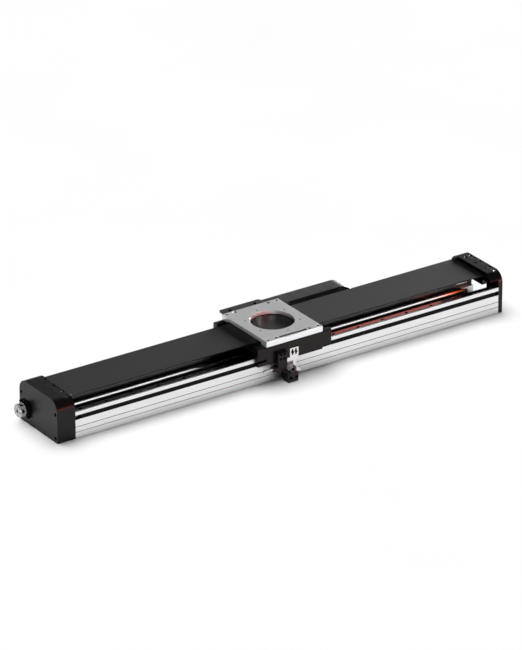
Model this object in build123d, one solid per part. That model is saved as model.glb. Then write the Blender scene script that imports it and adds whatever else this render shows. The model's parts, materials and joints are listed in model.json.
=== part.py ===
from build123d import *
import math
import os

os.makedirs("parts", exist_ok=True)

# Frame: X along the travel, Y from front to back, Z up.
# The origin is the middle of the bottom mounting face. All lengths are millimetres.

# Overall sizes
LENGTH = 1072.0
WIDTH = 138.0
END_HEIGHT = 89.0
END_CORNER_R = 24.0
FRONT, BACK = -WIDTH / 2, WIDTH / 2
LEFT, RIGHT = -LENGTH / 2, LENGTH / 2

# End blocks
HOUSING_T = 29.0
HOUSING_WALL = 3.5
HOUSING_FACE = 4.0
LEFT_PLATE_T = 12.5
RIGHT_PLATE_T = 10.0
CLAMP_BAR_T = 20.0
CLAMP_BAR_Z = 73.0
CORNER_SCREW_INSET = 6.5
CORNER_SCREW_LOW_Z = 9.0
CORNER_SCREW_TOP_Z = 60.5
CORNER_SCREW_SINK = 2.5
CORNER_BOSS_D = 12.0
TOP_SCREW_PITCH = 32.5
TOP_SCREW_SINK = 2.5
LEFT_TOP_SCREW_X = 7.5
BAR_TOP_SCREW_X = 8.0
RIGHT_TOP_SCREW_X = 4.2
VENT_D, VENT_PITCH, VENT_X = 2.0, 6.0, 10.0

# Cable window in the end plates, with a lobe towards the front
WINDOW_SIDE = 13.7
WINDOW_LOW_Z, WINDOW_HIGH_Z = 8.0, 41.8
WINDOW_CORNER_R = 9.0
LOBE_R = 7.5
LOBE_Y, LOBE_Z = -20.5, 46.5

# Base extrusion
BASE_H = 57.0
WALL_T = 11.0
LIP_T = 2.5
LIP_DROP = 4.0
SEAT_Z = 30.0
FLOOR_Z = 16.0
RIB_T = 5.5
RIB_TOP_Z = 46.4
RIB_SHORT = 43.5
CHAMBER_WALL = 5.0
CHAMBER_FLOOR = 5.0
OUTER_CHAMBER_H, INNER_CHAMBER_H = 18.0, 19.0
MIDDLE_CHAMBER_INSET, MIDDLE_CHAMBER_WALL = 2.0, 4.0
CHAMBER_R = 2.0
SCREW_WEB = 3.0
SLOT_Z = 40.0
SLOT_OPENING = 9.3
SLOT_LIP_T = 2.6
SLOT_CAVITY_EXTRA = 2.4
SLOT_DEPTH = 8.0
GROOVE = 1.2
GROOVE_HEIGHTS = (13.4, 24.6)
PORT_D = 5.0
PORTS = ((5.5, 31.5), (20.0, 23.5))
MOUNT_HOLE_D = 5.0
MOUNT_HOLE_DEPTH = 12.0
MOUNT_PITCH = 225.0
MOUNT_INSET = 24.0
MOUNT_END_MIN = 25.0
SLOT_COVER_SHORT = 12.0
SLOT_COVER_T = 1.2
SLOT_COVER_SUNK = 0.4
SLOT_COVER_SLACK = 0.2
SLOT_LEG_L = 2.6

# Guide rails and blocks
RAIL_W = 15.0
RAIL_H = 15.0
RAIL_PITCH = 60.0
RAIL_END_MIN = 12.5
RAIL_CHAMFER = 0.6
RAIL_SHORT = 4.0
RAIL_GROOVE_R = 2.0
RAIL_GROOVE_Z = 9.3
RAIL_GROOVE_OUT = 0.6
RUN_GAP = 0.4
BLOCK_W = 34.0
BLOCK_SIDE_GAP = 1.0
BLOCK_RIB_GAP = 0.5
BLOCK_ROOF_GAP = 1.5
BLOCK_TOP = 28.0
BLOCK_FOOT = 4.0
BLOCK_STEEL_L = 42.0
BLOCK_CAP_L = 8.0
BLOCK_CAP_LOW = 1.0
BLOCK_WIPER_L = 1.5
BLOCK_WIPER_LOW = 2.0
BLOCK_X = 55.0
BLOCK_SCREW_PITCH = 26.0

# Magnet track
TRACK_START = 12.5
TRACK_END_MIN = 30.0
MAGNET_PLATE = 72.0
PLATE_GAP = 0.2
TRACK_SIDE_GAP = 0.1
YOKE_H = 10.0
MAGNET_H = 7.0
MAGNET_COVER_H = 1.0
MAGNETS_PER_PLATE = 3
MAGNET_GAP = 2.0
MAGNET_SIDE = 2.0
MAGNET_SKEW = 2.0

# Cover sheet
COVER_INSET = 18.0
COVER_T = 2.0
COVER_TOP_Z = 84.0
COVER_SEAT = 10.0
COVER_SLIT_GAP = 0.05
COVER_END_GAP = 0.1
BAR_STOP_T = 4.0

# Carriage
CARRIAGE_X = 14.0
CARRIAGE_L = 177.0
PLATE_T = 10.0
RISER_OUT = 10.0
RISER_SHOULDER = 3.0
RISER_TOP_Z = 80.8
RISER_BOTTOM_Z = 42.5
RISER_STEP_L = 21.0
RISER_STEP_Z = 49.3
RISER_CLEAR = 1.0
RISER_CHAMFER = 1.2
RISER_NOTCH_L, RISER_NOTCH_DEPTH = 21.5, 5.0
RISER_NOTCH_Z0, RISER_NOTCH_Z1 = 50.0, 55.2
RISER_TAPPED_DEPTH = 10.0
LEDGE_T = 5.0
LEDGE_W = 10.0
LEDGE_SCREWS = 4
LEDGE_SCREW_PITCH = 40.0
TOP_PLATE_L = 135.0
TOP_PLATE_T = 12.0
TOP_PLATE_CHAMFER = 0.6
COVER_CLEAR = 1.2
RELIEF_SIDE = 9.0
BORE_D = 90.0
RING_D = 110.0
RING_HOLES = 6
RING_HOLE_D = 4.2
PAYLOAD_INSET = 7.5
PAYLOAD_HOLE_D = 6.0
FIXING_X = 80.0
FIXING_SINK = 2.0
STRIP_L = 67.0
STRIP_W = 8.0
STRIP_DEPTH = 3.0
STRIP_SUNK = 0.8
STRIP_SLACK = 0.1

# Coil unit and encoder
AIR_GAP = 0.8
COIL_L = 150.0
COIL_SIDE_GAP = 1.5
COIL_TEETH = 7
COIL_BACK_T = 6.0
COIL_CORNER_R = 3.0
COIL_GAP = 0.6
TOOTH_SHARE = 0.4
WINDING_SIDE = 4.0
WINDING_SLACK = 0.1
WINDING_LOW, WINDING_HIGH = 1.0, 0.2
TAPE_T = 0.3
TAPE_SIDE = 0.2
TAPE_START, TAPE_END = 12.0, 0.5
HEAD_L = 34.0
HEAD_W = 6.0
HEAD_GAP = 0.8

# Stops
STOP_L = 12.0
STOP_INSET = 37.0
STOP_W = 22.0
STOP_FOOT = 1.0
STOP_RAIL_SLACK = 0.1
BUMPER_D = 13.0
BUMPER_L = 12.0
BUMPER_EDGE_R = 2.5
BUMPER_STEM = (5.9, 5.5)
BUMPER_HOLE = (6.0, 6.0)

# Cable carrier
CHAIN_OUT = 15.0
CHAIN_W = 40.0
CHAIN_T = 18.0
CHAIN_TOP_Z = 75.0
CHAIN_FLOOR_Z = 2.0
CHAIN_WALL = 2.0
CHAIN_GAP = 0.6
CHAIN_CORNER_R, CHAIN_INNER_R = 2.0, 1.0
MOVING_END_BACK = 46.0
MOVING_END_L = 98.0
MOVING_END_INSET = 13.0
FIXED_END_LEAD = -31.75
FIXED_END_L = 40.0
FIXED_FOOT_SIDE, FIXED_FOOT_SHORT = 3.0, 2.0
LOWER_RUN_MIN = 29.5
UPPER_LINKS = 6
LOWER_LINKS = 7
BEND_LINKS = 6
TRAY_T = 1.5
TRAY_LIP = 14.0
TRAY_FRONT_LIP = 25.0
TRAY_LEAD = 5.0
TRAY_SIDE = 3.0
TRAY_BEYOND = 19.25
TRAY_SCREWS = 4
TRAY_SCREW_START, TRAY_SCREW_END = 35.0, 44.0
TRAY_SCREW_Z = 18.0
BRACKET_T = 3.0
BRACKET_SCREW_Z = 66.0
BRACKET_SCREW_PITCH = 60.0
BRACKET_DROP = 8.0
BRACKET_CORNER_R = 5.0
END_SCREW_SIDE = 14.0

# Power connector
CONNECTOR_INSET = 23.0
CONNECTOR_Z = 30.0
FLANGE = 34.0
FLANGE_T = 3.0
FLANGE_CORNER_R = 7.0
FLANGE_SCREW_INSET = 4.0
BOSS_D = 31.0
BOSS_T = 4.5
SHELL_D = 28.0
SHELL_WALL = 3.0
SHELL_L = 12.5
SHELL_SLOT_W, SHELL_SLOT_L = 5.0, 6.8
INSERT_SLACK = 0.1
INSERT_SUNK = 4.0
CONTACT_RING_R = 6.0
CONTACTS = 6
CONTACT_D, CONTACT_HOLE_D = 1.8, 2.2
CONTACT_L, CONTACT_SUNK, CONTACT_HOLE_L = 3.0, 2.0, 5.0

# What hangs on the front riser: switch block, barrel, flag and sensor
SWITCH_BACK = 35.0
SWITCH_W = 22.0
SWITCH_T = 9.0
SWITCH_Z0, SWITCH_Z1 = 23.5, 68.0
SWITCH_SLOPE = 4.5
SWITCH_HOLE_PITCH = (8.6, 10.0)
SWITCH_HOLE_Z = 56.0
SWITCH_HOLE_SUNK = 1.2
BARREL_D = 14.0
BARREL_L = 10.0
BARREL_Z = 32.0
BARREL_CHAMFER = 1.0
FLAG_L = 22.0
FLAG_W, FLAG_H = 4.0, 4.4
SENSOR_BACK = 2.2
SENSOR_PLATE_W = 20.4
SENSOR_SHEET = 1.5
SENSOR_TOP_Z = 64.5
SENSOR_LOW_Z = 37.0
SENSOR_SLOT_Z = 55.5
SENSOR_SLOT_L, SENSOR_SLOT_W = 14.0, 3.8
SENSOR_SLOT_PITCH = 8.0
SENSOR_TAB = 8.5
TONGUE_BACK = 2.7
TONGUE_W = 8.2
SHELF_DEPTH = 18.0
SHELF_LEAD, SHELF_END = 3.0, 5.0
SHELF_SCREW = (7.0, 9.5)
SENSOR_BOX = (26.0, 21.5, 19.0)
SENSOR_BOX_BACK = 17.5
SENSOR_BOX_GAP = 0.5
SENSOR_BOX_Z = 1.5
SENSOR_BOX_R = 3.0
SENSOR_BOX_SCREWS = (-6.3, 7.0)
SENSOR_BOX_SUNK = 5.0
SENSOR_BOX_HOLE_D = 7.5

# Fasteners: head diameter, head height, thread diameter, key width
M3 = (5.5, 3.0, 3.0, 2.5)
M4 = (7.0, 4.0, 4.0, 3.0)
M5 = (8.5, 5.0, 5.0, 4.0)
FLAT_M3 = (5.5, 1.8, 3.0, 2.0)
FLAT_M4 = (7.0, 1.8, 4.0, 2.5)
HOLE_SLACK = 0.25
HEAD_SLACK = 0.5
HEAD_SINK = 0.5
RAIL_HEAD_SINK = 1.0
THREAD_IN = 6.0
TAPPED_DEPTH = 7.0
GRUB_D, GRUB_KEY = 6.0, 3.0
PORT_SCREW_IN = 12.0
CUT_OVER = 1.0

# Places that follow from the sizes above
BASE_X0 = LEFT + HOUSING_T + LEFT_PLATE_T
BASE_X1 = RIGHT - RIGHT_PLATE_T
BASE_L = BASE_X1 - BASE_X0
BASE_MID = (BASE_X0 + BASE_X1) / 2
RAIL_TOP_Z = SEAT_Z + RAIL_H
PLATE_Z = SEAT_Z + BLOCK_TOP
PLATE_TOP_Z = PLATE_Z + PLATE_T
WALL_INNER_Y = WIDTH / 2 - WALL_T
RAIL_Y = WALL_INNER_Y - BLOCK_SIDE_GAP - BLOCK_W / 2
RIB_OUTER_Y = RAIL_Y - BLOCK_W / 2 - BLOCK_RIB_GAP
RIB_INNER_Y = RIB_OUTER_Y - RIB_T
RIB_X1 = BASE_X1 - RIB_SHORT
MOUNT_Y = WIDTH / 2 - MOUNT_INSET
CONNECTOR_Y = WIDTH / 2 - CONNECTOR_INSET
HOUSING_HOLE_D = SHELL_D - 2 * SHELL_WALL
COIL_W = 2 * (RIB_INNER_Y - COIL_SIDE_GAP)
COVER_W = WIDTH - 2 * COVER_INSET
RELIEF_HALF = COVER_W / 2 + RELIEF_SIDE
PAYLOAD_X = TOP_PLATE_L - 2 * PAYLOAD_INSET
MAGNET_TOP_Z = FLOOR_Z + YOKE_H + MAGNET_H + MAGNET_COVER_H
COVER_Z = COVER_TOP_Z - COVER_T
TOP_PLATE_TOP_Z = RISER_TOP_Z + TOP_PLATE_T
RISER_Y = WIDTH / 2 + RISER_OUT
RISER_INNER_Y = WIDTH / 2 - RISER_SHOULDER
RISER_MID_Y = (RISER_Y + RISER_INNER_Y) / 2
CARRIAGE_X0 = CARRIAGE_X - CARRIAGE_L / 2
CARRIAGE_X1 = CARRIAGE_X + CARRIAGE_L / 2
LEFT_STOP_X = BASE_X0 + STOP_INSET
RIGHT_STOP_X = BASE_X1 - CLAMP_BAR_T - STOP_INSET
TRAVEL_LEFT = CARRIAGE_X0 - LEFT_STOP_X - BUMPER_L
TRAVEL_RIGHT = RIGHT_STOP_X - BUMPER_L - CARRIAGE_X1

# The carrier's bend moves half as far as the carriage, so its place and the tray's end follow
# from the travel to each side.
CHAIN_Y = BACK + CHAIN_OUT
CHAIN_MID_Y = CHAIN_Y + CHAIN_W / 2
BEND_R = (CHAIN_TOP_Z - CHAIN_FLOOR_Z) / 2
BEND_Z = CHAIN_FLOOR_Z + BEND_R
MOVING_END_X = CARRIAGE_X - MOVING_END_BACK
FIXED_END_X = BASE_MID + FIXED_END_LEAD
BEND_X = FIXED_END_X + FIXED_END_L + LOWER_RUN_MIN + TRAVEL_LEFT / 2
TRAY_X0 = FIXED_END_X - TRAY_LEAD
TRAY_X1 = BEND_X + TRAVEL_RIGHT / 2 + BEND_R + TRAY_BEYOND
SWITCH_X = CARRIAGE_X - SWITCH_BACK
SENSOR_PLATE_X = CARRIAGE_X - SENSOR_BACK
SENSOR_BOX_X = CARRIAGE_X - SENSOR_BOX_BACK


def yz_face(points):
    """A closed outline drawn in the plane across the travel."""
    return Plane.YZ * make_face(Polyline(*points, close=True))


def run(face, x0, x1):
    """Extrude a cross face from x0 to x1 along the travel."""
    return extrude(Pos(x0, 0, 0) * face, amount=x1 - x0, dir=(1, 0, 0))


def block(x0, x1, y0, y1, z0, z1):
    """A box between two corners."""
    box = Box(x1 - x0, y1 - y0, z1 - z0)
    return Pos((x0 + x1) / 2, (y0 + y1) / 2, (z0 + z1) / 2) * box


def pin_z(x, y, z0, z1, diameter):
    """An upright cylinder between two heights."""
    return Pos(x, y, (z0 + z1) / 2) * Cylinder(diameter / 2, z1 - z0)


def pin_x(x0, x1, y, z, diameter):
    """A cylinder along the travel."""
    return Pos((x0 + x1) / 2, y, z) * Rot(0, 90, 0) * Cylinder(diameter / 2, x1 - x0)


def pin_y(x, y0, y1, z, diameter):
    """A cylinder from front to back."""
    return Pos(x, (y0 + y1) / 2, z) * Rot(90, 0, 0) * Cylinder(diameter / 2, y1 - y0)


def cap_screw(size, length):
    """A socket cap screw, head up: its seat is at the origin and the shank goes down."""
    head_d, head_h, thread_d, key = size
    profile = Plane.XZ * make_face(
        Polyline(
            (0, -length), (thread_d / 2, -length), (thread_d / 2, 0), (head_d / 2, 0),
            (head_d / 2, head_h), (0, head_h), close=True,
        )
    )
    socket = Pos(0, 0, head_h / 2) * extrude(RegularPolygon(key / 2, 6, major_radius=False), amount=head_h)
    return revolve(profile, Axis.Z) - socket


def group(items):
    """Several separate solids kept together in one node."""
    return Compound(children=[solid for item in items for solid in item.solids()])


def arch_face(inset=0.0):
    """The outline of the end blocks: upright sides and two large top radii."""
    radius = END_CORNER_R - inset
    half, top = WIDTH / 2 - inset, END_HEIGHT - inset
    turn = top - radius
    bulge = radius * math.sin(math.pi / 4)
    edges = [
        Line((-half, inset), (half, inset)),
        Line((half, inset), (half, turn)),
        ThreePointArc((half, turn), (half - radius + bulge, turn + bulge), (half - radius, top)),
        Line((half - radius, top), (radius - half, top)),
        ThreePointArc((radius - half, top), (radius - half - bulge, turn + bulge), (-half, turn)),
        Line((-half, turn), (-half, inset)),
    ]
    return Plane.YZ * make_face(edges)


def window_face():
    """The cable window in the end plates: a rounded opening with a lobe towards the front."""
    half = RIB_OUTER_Y + WINDOW_SIDE
    low, high = WINDOW_LOW_Z, WINDOW_HIGH_Z
    body = Pos(0, (low + high) / 2) * RectangleRounded(2 * half, high - low, WINDOW_CORNER_R)
    lobe = Pos(LOBE_Y, LOBE_Z) * Circle(LOBE_R)
    neck = Pos(LOBE_Y, LOBE_Z - LOBE_R) * Rectangle(2 * LOBE_R, 2 * LOBE_R)
    return Plane.YZ * (body + lobe + neck)


def port_places():
    """The Y and Z of the screw ports at the ends of the extrusion."""
    return [(side * (WIDTH / 2 - inset), z) for side in (-1, 1) for inset, z in PORTS]


def corner_places():
    """The Y and Z of the four corner screws of the left housing."""
    y = WIDTH / 2 - CORNER_SCREW_INSET
    return [(side * y, z) for side in (-1, 1) for z in (CORNER_SCREW_LOW_Z, CORNER_SCREW_TOP_Z)]


def top_rows():
    """The Y of the three screws on top of each end block."""
    return [k * TOP_SCREW_PITCH for k in (-1, 0, 1)]


def chamber(y0, y1, height):
    """A closed hollow of the extrusion between two places across the travel."""
    return Pos((y0 + y1) / 2, CHAMBER_FLOOR + height / 2) * RectangleRounded(abs(y1 - y0), height, CHAMBER_R)


def extrusion_cuts(side):
    """The slot, the grooves and the hollows of one side of the extrusion."""
    half = WIDTH / 2
    mid_slot = SLOT_Z + SLOT_OPENING / 2
    cavity_d = SLOT_DEPTH - SLOT_LIP_T
    cavity_y = half - SLOT_LIP_T - cavity_d / 2
    mouth = Pos(side * half, mid_slot) * Rectangle(2 * SLOT_LIP_T, SLOT_OPENING)
    cavity = Pos(side * cavity_y, mid_slot) * Rectangle(cavity_d, SLOT_OPENING + 2 * SLOT_CAVITY_EXTRA)
    grooves = [Pos(side * half, z) * Rectangle(2 * GROOVE, GROOVE) for z in GROOVE_HEIGHTS]
    web = MOUNT_HOLE_D / 2 + SCREW_WEB
    outer = chamber(side * (MOUNT_Y + 2 * web), side * (half - CHAMBER_WALL), OUTER_CHAMBER_H)
    inner = chamber(side * RIB_OUTER_Y, side * (RAIL_Y - web), INNER_CHAMBER_H)
    return [mouth, cavity, outer, inner, *grooves]


def base_extrusion():
    """The long base: walls with lips, rail seats, a channel for the magnets between two ribs."""
    half = WIDTH / 2
    right = [
        (half, 0), (half, BASE_H), (half - LIP_T, BASE_H), (WALL_INNER_Y, BASE_H - LIP_DROP),
        (WALL_INNER_Y, SEAT_Z), (RIB_OUTER_Y, SEAT_Z), (RIB_OUTER_Y, RIB_TOP_Z),
        (RIB_INNER_Y, RIB_TOP_Z), (RIB_INNER_Y, FLOOR_Z),
    ]
    left = [(-y, z) for y, z in reversed(right)]
    section = Plane.YZ * make_face(Polyline(*right, *left, close=True))
    middle_w = 2 * (RIB_INNER_Y - MIDDLE_CHAMBER_INSET)
    middle_h = FLOOR_Z - 2 * MIDDLE_CHAMBER_WALL
    cuts = extrusion_cuts(-1) + extrusion_cuts(1)
    cuts.append(Pos(0, FLOOR_Z / 2) * RectangleRounded(middle_w, middle_h, CHAMBER_R))
    cuts += [Pos(y, z) * Circle(PORT_D / 2) for y, z in port_places()]
    body = run(section - [Plane.YZ * cut for cut in cuts], BASE_X0, BASE_X1)
    body -= block(RIB_X1, BASE_X1, -RIB_OUTER_Y, RIB_OUTER_Y, SEAT_Z, RIB_TOP_Z)
    holes = [pin_z(x, y, 0, MOUNT_HOLE_DEPTH, MOUNT_HOLE_D) for x, y in mount_places()]
    for y in (-RAIL_Y, RAIL_Y):
        holes += [pin_z(x, y, SEAT_Z - TAPPED_DEPTH, SEAT_Z, M4[2]) for x in rail_hole_x()]
    wall_y = BACK - CHAMBER_WALL - CUT_OVER
    holes += [pin_y(x, wall_y, BACK, TRAY_SCREW_Z, M4[2]) for x in tray_screw_x()]
    return body - holes


def spread_along(length, pitch, end_min):
    """Places at a fixed pitch round the middle of the base, as many as the length takes."""
    count = int((length - 2 * end_min) / pitch) + 1
    return [BASE_MID + (k - (count - 1) / 2) * pitch for k in range(count)]


def mount_places():
    """The tapped holes in the bottom face, in two rows."""
    return [(x, y) for x in spread_along(BASE_L, MOUNT_PITCH, MOUNT_END_MIN) for y in (-MOUNT_Y, MOUNT_Y)]


def rail_hole_x():
    return spread_along(BASE_L - 2 * RAIL_SHORT, RAIL_PITCH, RAIL_END_MIN)


def slot_cover(side):
    """A plastic strip that closes the upper slot, with two legs behind its lips."""
    x0, x1 = BASE_X0 + SLOT_COVER_SHORT, BASE_X1 - SLOT_COVER_SHORT
    z0, z1 = SLOT_Z + SLOT_COVER_SLACK, SLOT_Z + SLOT_OPENING - SLOT_COVER_SLACK
    face_y = WIDTH / 2 - SLOT_COVER_SUNK
    back_y = face_y - SLOT_COVER_T
    strip = block(x0, x1, back_y, face_y, z0, z1)
    for low, high in ((z0, z0 + SLOT_COVER_T), (z1 - SLOT_COVER_T, z1)):
        strip += block(x0, x1, back_y - SLOT_LEG_L, back_y, low, high)
    return strip if side > 0 else mirror(strip, Plane.XZ)


def guide_rail(y):
    """A profiled rail: a ball groove on each flank and counterbored holes from above."""
    w = RAIL_W / 2
    section = Pos(0, RAIL_H / 2) * Rectangle(RAIL_W, RAIL_H)
    section = chamfer(section.vertices(), RAIL_CHAMFER)
    section -= [
        Pos(side * (w + RAIL_GROOVE_OUT), RAIL_GROOVE_Z) * Circle(RAIL_GROOVE_R) for side in (-1, 1)
    ]
    rail = run(Plane.YZ * (Pos(y, SEAT_Z) * section), BASE_X0 + RAIL_SHORT, BASE_X1 - RAIL_SHORT)
    holes = [pin_z(x, y, rail_screw_seat(), RAIL_TOP_Z, M4[0] + HEAD_SLACK) for x in rail_hole_x()]
    holes += [pin_z(x, y, SEAT_Z, rail_screw_seat(), M4[2] + 2 * HOLE_SLACK) for x in rail_hole_x()]
    return rail - holes


def rail_screw_seat():
    return RAIL_TOP_Z - M4[1] - RAIL_HEAD_SINK


def rail_screws():
    screw = cap_screw(M4, rail_screw_seat() - SEAT_Z + THREAD_IN)
    return group([Pos(x, y, rail_screw_seat()) * screw for y in (-RAIL_Y, RAIL_Y) for x in rail_hole_x()])


def track_pieces():
    """The start and length of each magnet plate: full plates and a half one at the end."""
    start = BASE_X0 + TRACK_START
    count = int((BASE_L - TRACK_START - TRACK_END_MIN - MAGNET_PLATE / 2) / MAGNET_PLATE)
    plates = [(start + k * MAGNET_PLATE, MAGNET_PLATE) for k in range(count)]
    return plates + [(start + count * MAGNET_PLATE, MAGNET_PLATE / 2)]


def track_layer(z0, z1, gap):
    """One layer of the track: a plate per piece, with a gap between neighbours."""
    half = RIB_INNER_Y - TRACK_SIDE_GAP
    return group([
        block(x + gap / 2, x + length - gap / 2, -half, half, z0, z1) for x, length in track_pieces()
    ])


def magnet_yokes():
    return track_layer(FLOOR_Z, FLOOR_Z + YOKE_H, PLATE_GAP)


def magnets():
    """Skewed magnets on the yokes, alternate poles side by side."""
    low = FLOOR_Z + YOKE_H
    pitch = MAGNET_PLATE / MAGNETS_PER_PLATE
    w = (pitch - MAGNET_GAP - MAGNET_SKEW) / 2
    half = RIB_INNER_Y - MAGNET_SIDE
    outline = make_face(Polyline(
        (MAGNET_SKEW / 2 - w, -half), (MAGNET_SKEW / 2 + w, -half),
        (w - MAGNET_SKEW / 2, half), (-w - MAGNET_SKEW / 2, half), close=True,
    ))
    magnet = extrude(outline, amount=MAGNET_H)
    places = [
        x + (k + 0.5) * pitch
        for x, length in track_pieces()
        for k in range(int(length / pitch))
    ]
    return group([Pos(x, 0, low) * magnet for x in places])


def magnet_covers():
    return track_layer(MAGNET_TOP_Z - MAGNET_COVER_H, MAGNET_TOP_Z, 3 * PLATE_GAP)


def encoder_tape():
    return block(
        BASE_X0 + TAPE_START, RIB_X1 - TAPE_END,
        -RIB_OUTER_Y + TAPE_SIDE, -RIB_INNER_Y - TAPE_SIDE, RIB_TOP_Z, RIB_TOP_Z + TAPE_T,
    )


def top_screw_holes(x):
    """The three holes for the grub screws on top of an end block."""
    return [pin_z(x, y, COVER_TOP_Z, END_HEIGHT, GRUB_D) for y in top_rows()]


def port_screw_holes(x0, x1, head_x0, head_x1):
    """Through holes and counterbores for the screws into the ports of the extrusion."""
    holes = [pin_x(x0, x1, y, z, M5[2] + HOLE_SLACK) for y, z in port_places()]
    return holes + [pin_x(head_x0, head_x1, y, z, M5[0] + HEAD_SLACK) for y, z in port_places()]


def left_end_plate():
    """The inner plate between the extrusion and the terminal housing."""
    x0, x1 = LEFT + HOUSING_T, BASE_X0
    plate = run(arch_face() - window_face(), x0, x1)
    plate -= cover_slot(x1 - COVER_SEAT, x1)
    plate -= top_screw_holes(grub_screw_x()[0])
    plate -= [pin_x(x0, x0 + TAPPED_DEPTH + CUT_OVER, y, z, M4[2]) for y, z in corner_places()]
    return plate - port_screw_holes(x0, x1, x0, x0 + M5[1] + HEAD_SINK)


def cover_slot(x0, x1):
    """The slit that holds an end of the cover sheet."""
    half, gap = COVER_W / 2 + COVER_SLIT_GAP, COVER_SLIT_GAP
    return block(x0, x1, -half, half, COVER_Z - gap, COVER_TOP_Z + gap)


def corner_seat_x():
    """Where the heads of the four corner screws of the housing sit."""
    return LEFT + M4[1] + CORNER_SCREW_SINK


def left_end_housing():
    """A hollow terminal housing with corner bosses, open towards the inner plate."""
    x0, x1 = LEFT, LEFT + HOUSING_T
    envelope = run(arch_face(), x0, x1)
    shell = envelope - run(arch_face(HOUSING_WALL), x0 + HOUSING_FACE, x1)
    shell += [(pin_x(x0 + HOUSING_FACE, x1, y, z, CORNER_BOSS_D) & envelope) for y, z in corner_places()]
    shell -= [pin_x(x0, x1, y, z, M4[2] + HOLE_SLACK) for y, z in corner_places()]
    shell -= [pin_x(x0, corner_seat_x(), y, z, M4[0] + HEAD_SLACK) for y, z in corner_places()]
    shell -= pin_x(x0, x0 + HOUSING_FACE, CONNECTOR_Y, CONNECTOR_Z, HOUSING_HOLE_D)
    shell -= [pin_z(x0 + VENT_X, side * VENT_PITCH / 2, END_HEIGHT - HOUSING_WALL, END_HEIGHT, VENT_D)
              for side in (-1, 1)]
    return shell - [pin_x(x0, x0 + HOUSING_FACE, y, z, M3[2]) for y, z in flange_places()]


def flange_places():
    reach = FLANGE / 2 - FLANGE_SCREW_INSET
    return [(CONNECTOR_Y + a * reach, CONNECTOR_Z + b * reach) for a in (-1, 1) for b in (-1, 1)]


def right_end_plate():
    """The right end plate, with the cable window and recessed corner screws."""
    x0, x1 = BASE_X1, RIGHT
    plate = run(arch_face() - window_face(), x0, x1)
    plate -= port_screw_holes(x0, x1, x1 - M5[1] - HEAD_SINK, x1)
    return plate - top_screw_holes(grub_screw_x()[2])


def right_clamp_bar():
    """The bar under the right end's top that holds the cover, cut off above the rails."""
    x0, x1 = BASE_X1 - CLAMP_BAR_T, BASE_X1
    bar = run(arch_face(), x0, x1) & block(x0, x1, FRONT, BACK, CLAMP_BAR_Z, END_HEIGHT)
    bar -= cover_slot(x0, x1 - BAR_STOP_T)
    return bar - top_screw_holes(grub_screw_x()[1])


def top_cover():
    """The fixed sheet that the carriage runs along."""
    x0, x1 = BASE_X0 - COVER_SEAT + COVER_END_GAP, BASE_X1 - BAR_STOP_T - COVER_END_GAP
    return block(x0, x1, -COVER_W / 2, COVER_W / 2, COVER_Z, COVER_TOP_Z)


def cover_screws():
    """Grub screws over the ends of the cover and in the top of the right plate."""
    length = END_HEIGHT - TOP_SCREW_SINK - COVER_TOP_Z
    screw = Cylinder(GRUB_D / 2, length, align=(Align.CENTER, Align.CENTER, Align.MIN))
    key = RegularPolygon(GRUB_KEY / 2, 6, major_radius=False)
    screw -= Pos(0, 0, length / 2) * extrude(key, amount=length)
    return group([Pos(x, y, COVER_TOP_Z) * screw for x in grub_screw_x() for y in top_rows()])


def grub_screw_x():
    """Where the rows of top screws stand: left plate, clamp bar and right plate."""
    return [BASE_X0 - LEFT_PLATE_T + LEFT_TOP_SCREW_X, BASE_X1 - BAR_TOP_SCREW_X, BASE_X1 + RIGHT_TOP_SCREW_X]


def housing_screws():
    length = LEFT + HOUSING_T - corner_seat_x() + TAPPED_DEPTH
    screw = Rot(0, -90, 0) * cap_screw(M4, length)
    return group([Pos(corner_seat_x(), y, z) * screw for y, z in corner_places()])


def end_plate_screws():
    """The screws that pull both end plates against the extrusion."""
    recess = M5[1] + HEAD_SINK
    left = Rot(0, -90, 0) * cap_screw(M5, LEFT_PLATE_T - recess + PORT_SCREW_IN)
    right = Rot(0, 90, 0) * cap_screw(M5, RIGHT_PLATE_T - recess + PORT_SCREW_IN)
    left_x, right_x = LEFT + HOUSING_T + recess, RIGHT - recess
    screws = [Pos(left_x, y, z) * left for y, z in port_places()]
    return group(screws + [Pos(right_x, y, z) * right for y, z in port_places()])


def connector_flange():
    """The black square flange with its round boss."""
    outline = RectangleRounded(FLANGE, FLANGE, FLANGE_CORNER_R)
    body = run(Plane.YZ * (Pos(CONNECTOR_Y, CONNECTOR_Z) * outline), LEFT - FLANGE_T, LEFT)
    body += pin_x(sleeve_x1(), LEFT - FLANGE_T, CONNECTOR_Y, CONNECTOR_Z, BOSS_D)
    body -= pin_x(sleeve_x1(), LEFT, CONNECTOR_Y, CONNECTOR_Z, SHELL_D - 2 * SHELL_WALL)
    holes = [pin_x(LEFT - FLANGE_T, LEFT, y, z, M3[2] + HOLE_SLACK) for y, z in flange_places()]
    return body - holes


def sleeve_x1():
    """The face of the boss that the sleeve sits on."""
    return LEFT - FLANGE_T - BOSS_T


def connector_shell():
    """The silver threaded sleeve, with four bayonet slots in its rim."""
    x1 = sleeve_x1()
    x0 = x1 - SHELL_L
    sleeve = pin_x(x0, x1, CONNECTOR_Y, CONNECTOR_Z, SHELL_D)
    sleeve -= pin_x(x0, x1, CONNECTOR_Y, CONNECTOR_Z, SHELL_D - 2 * SHELL_WALL)
    for angle in (45, 135):
        slot = Box(2 * SHELL_SLOT_L, SHELL_SLOT_W, SHELL_D)
        sleeve -= Pos(x0, CONNECTOR_Y, CONNECTOR_Z) * Rot(angle, 0, 0) * slot
    return sleeve


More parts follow.
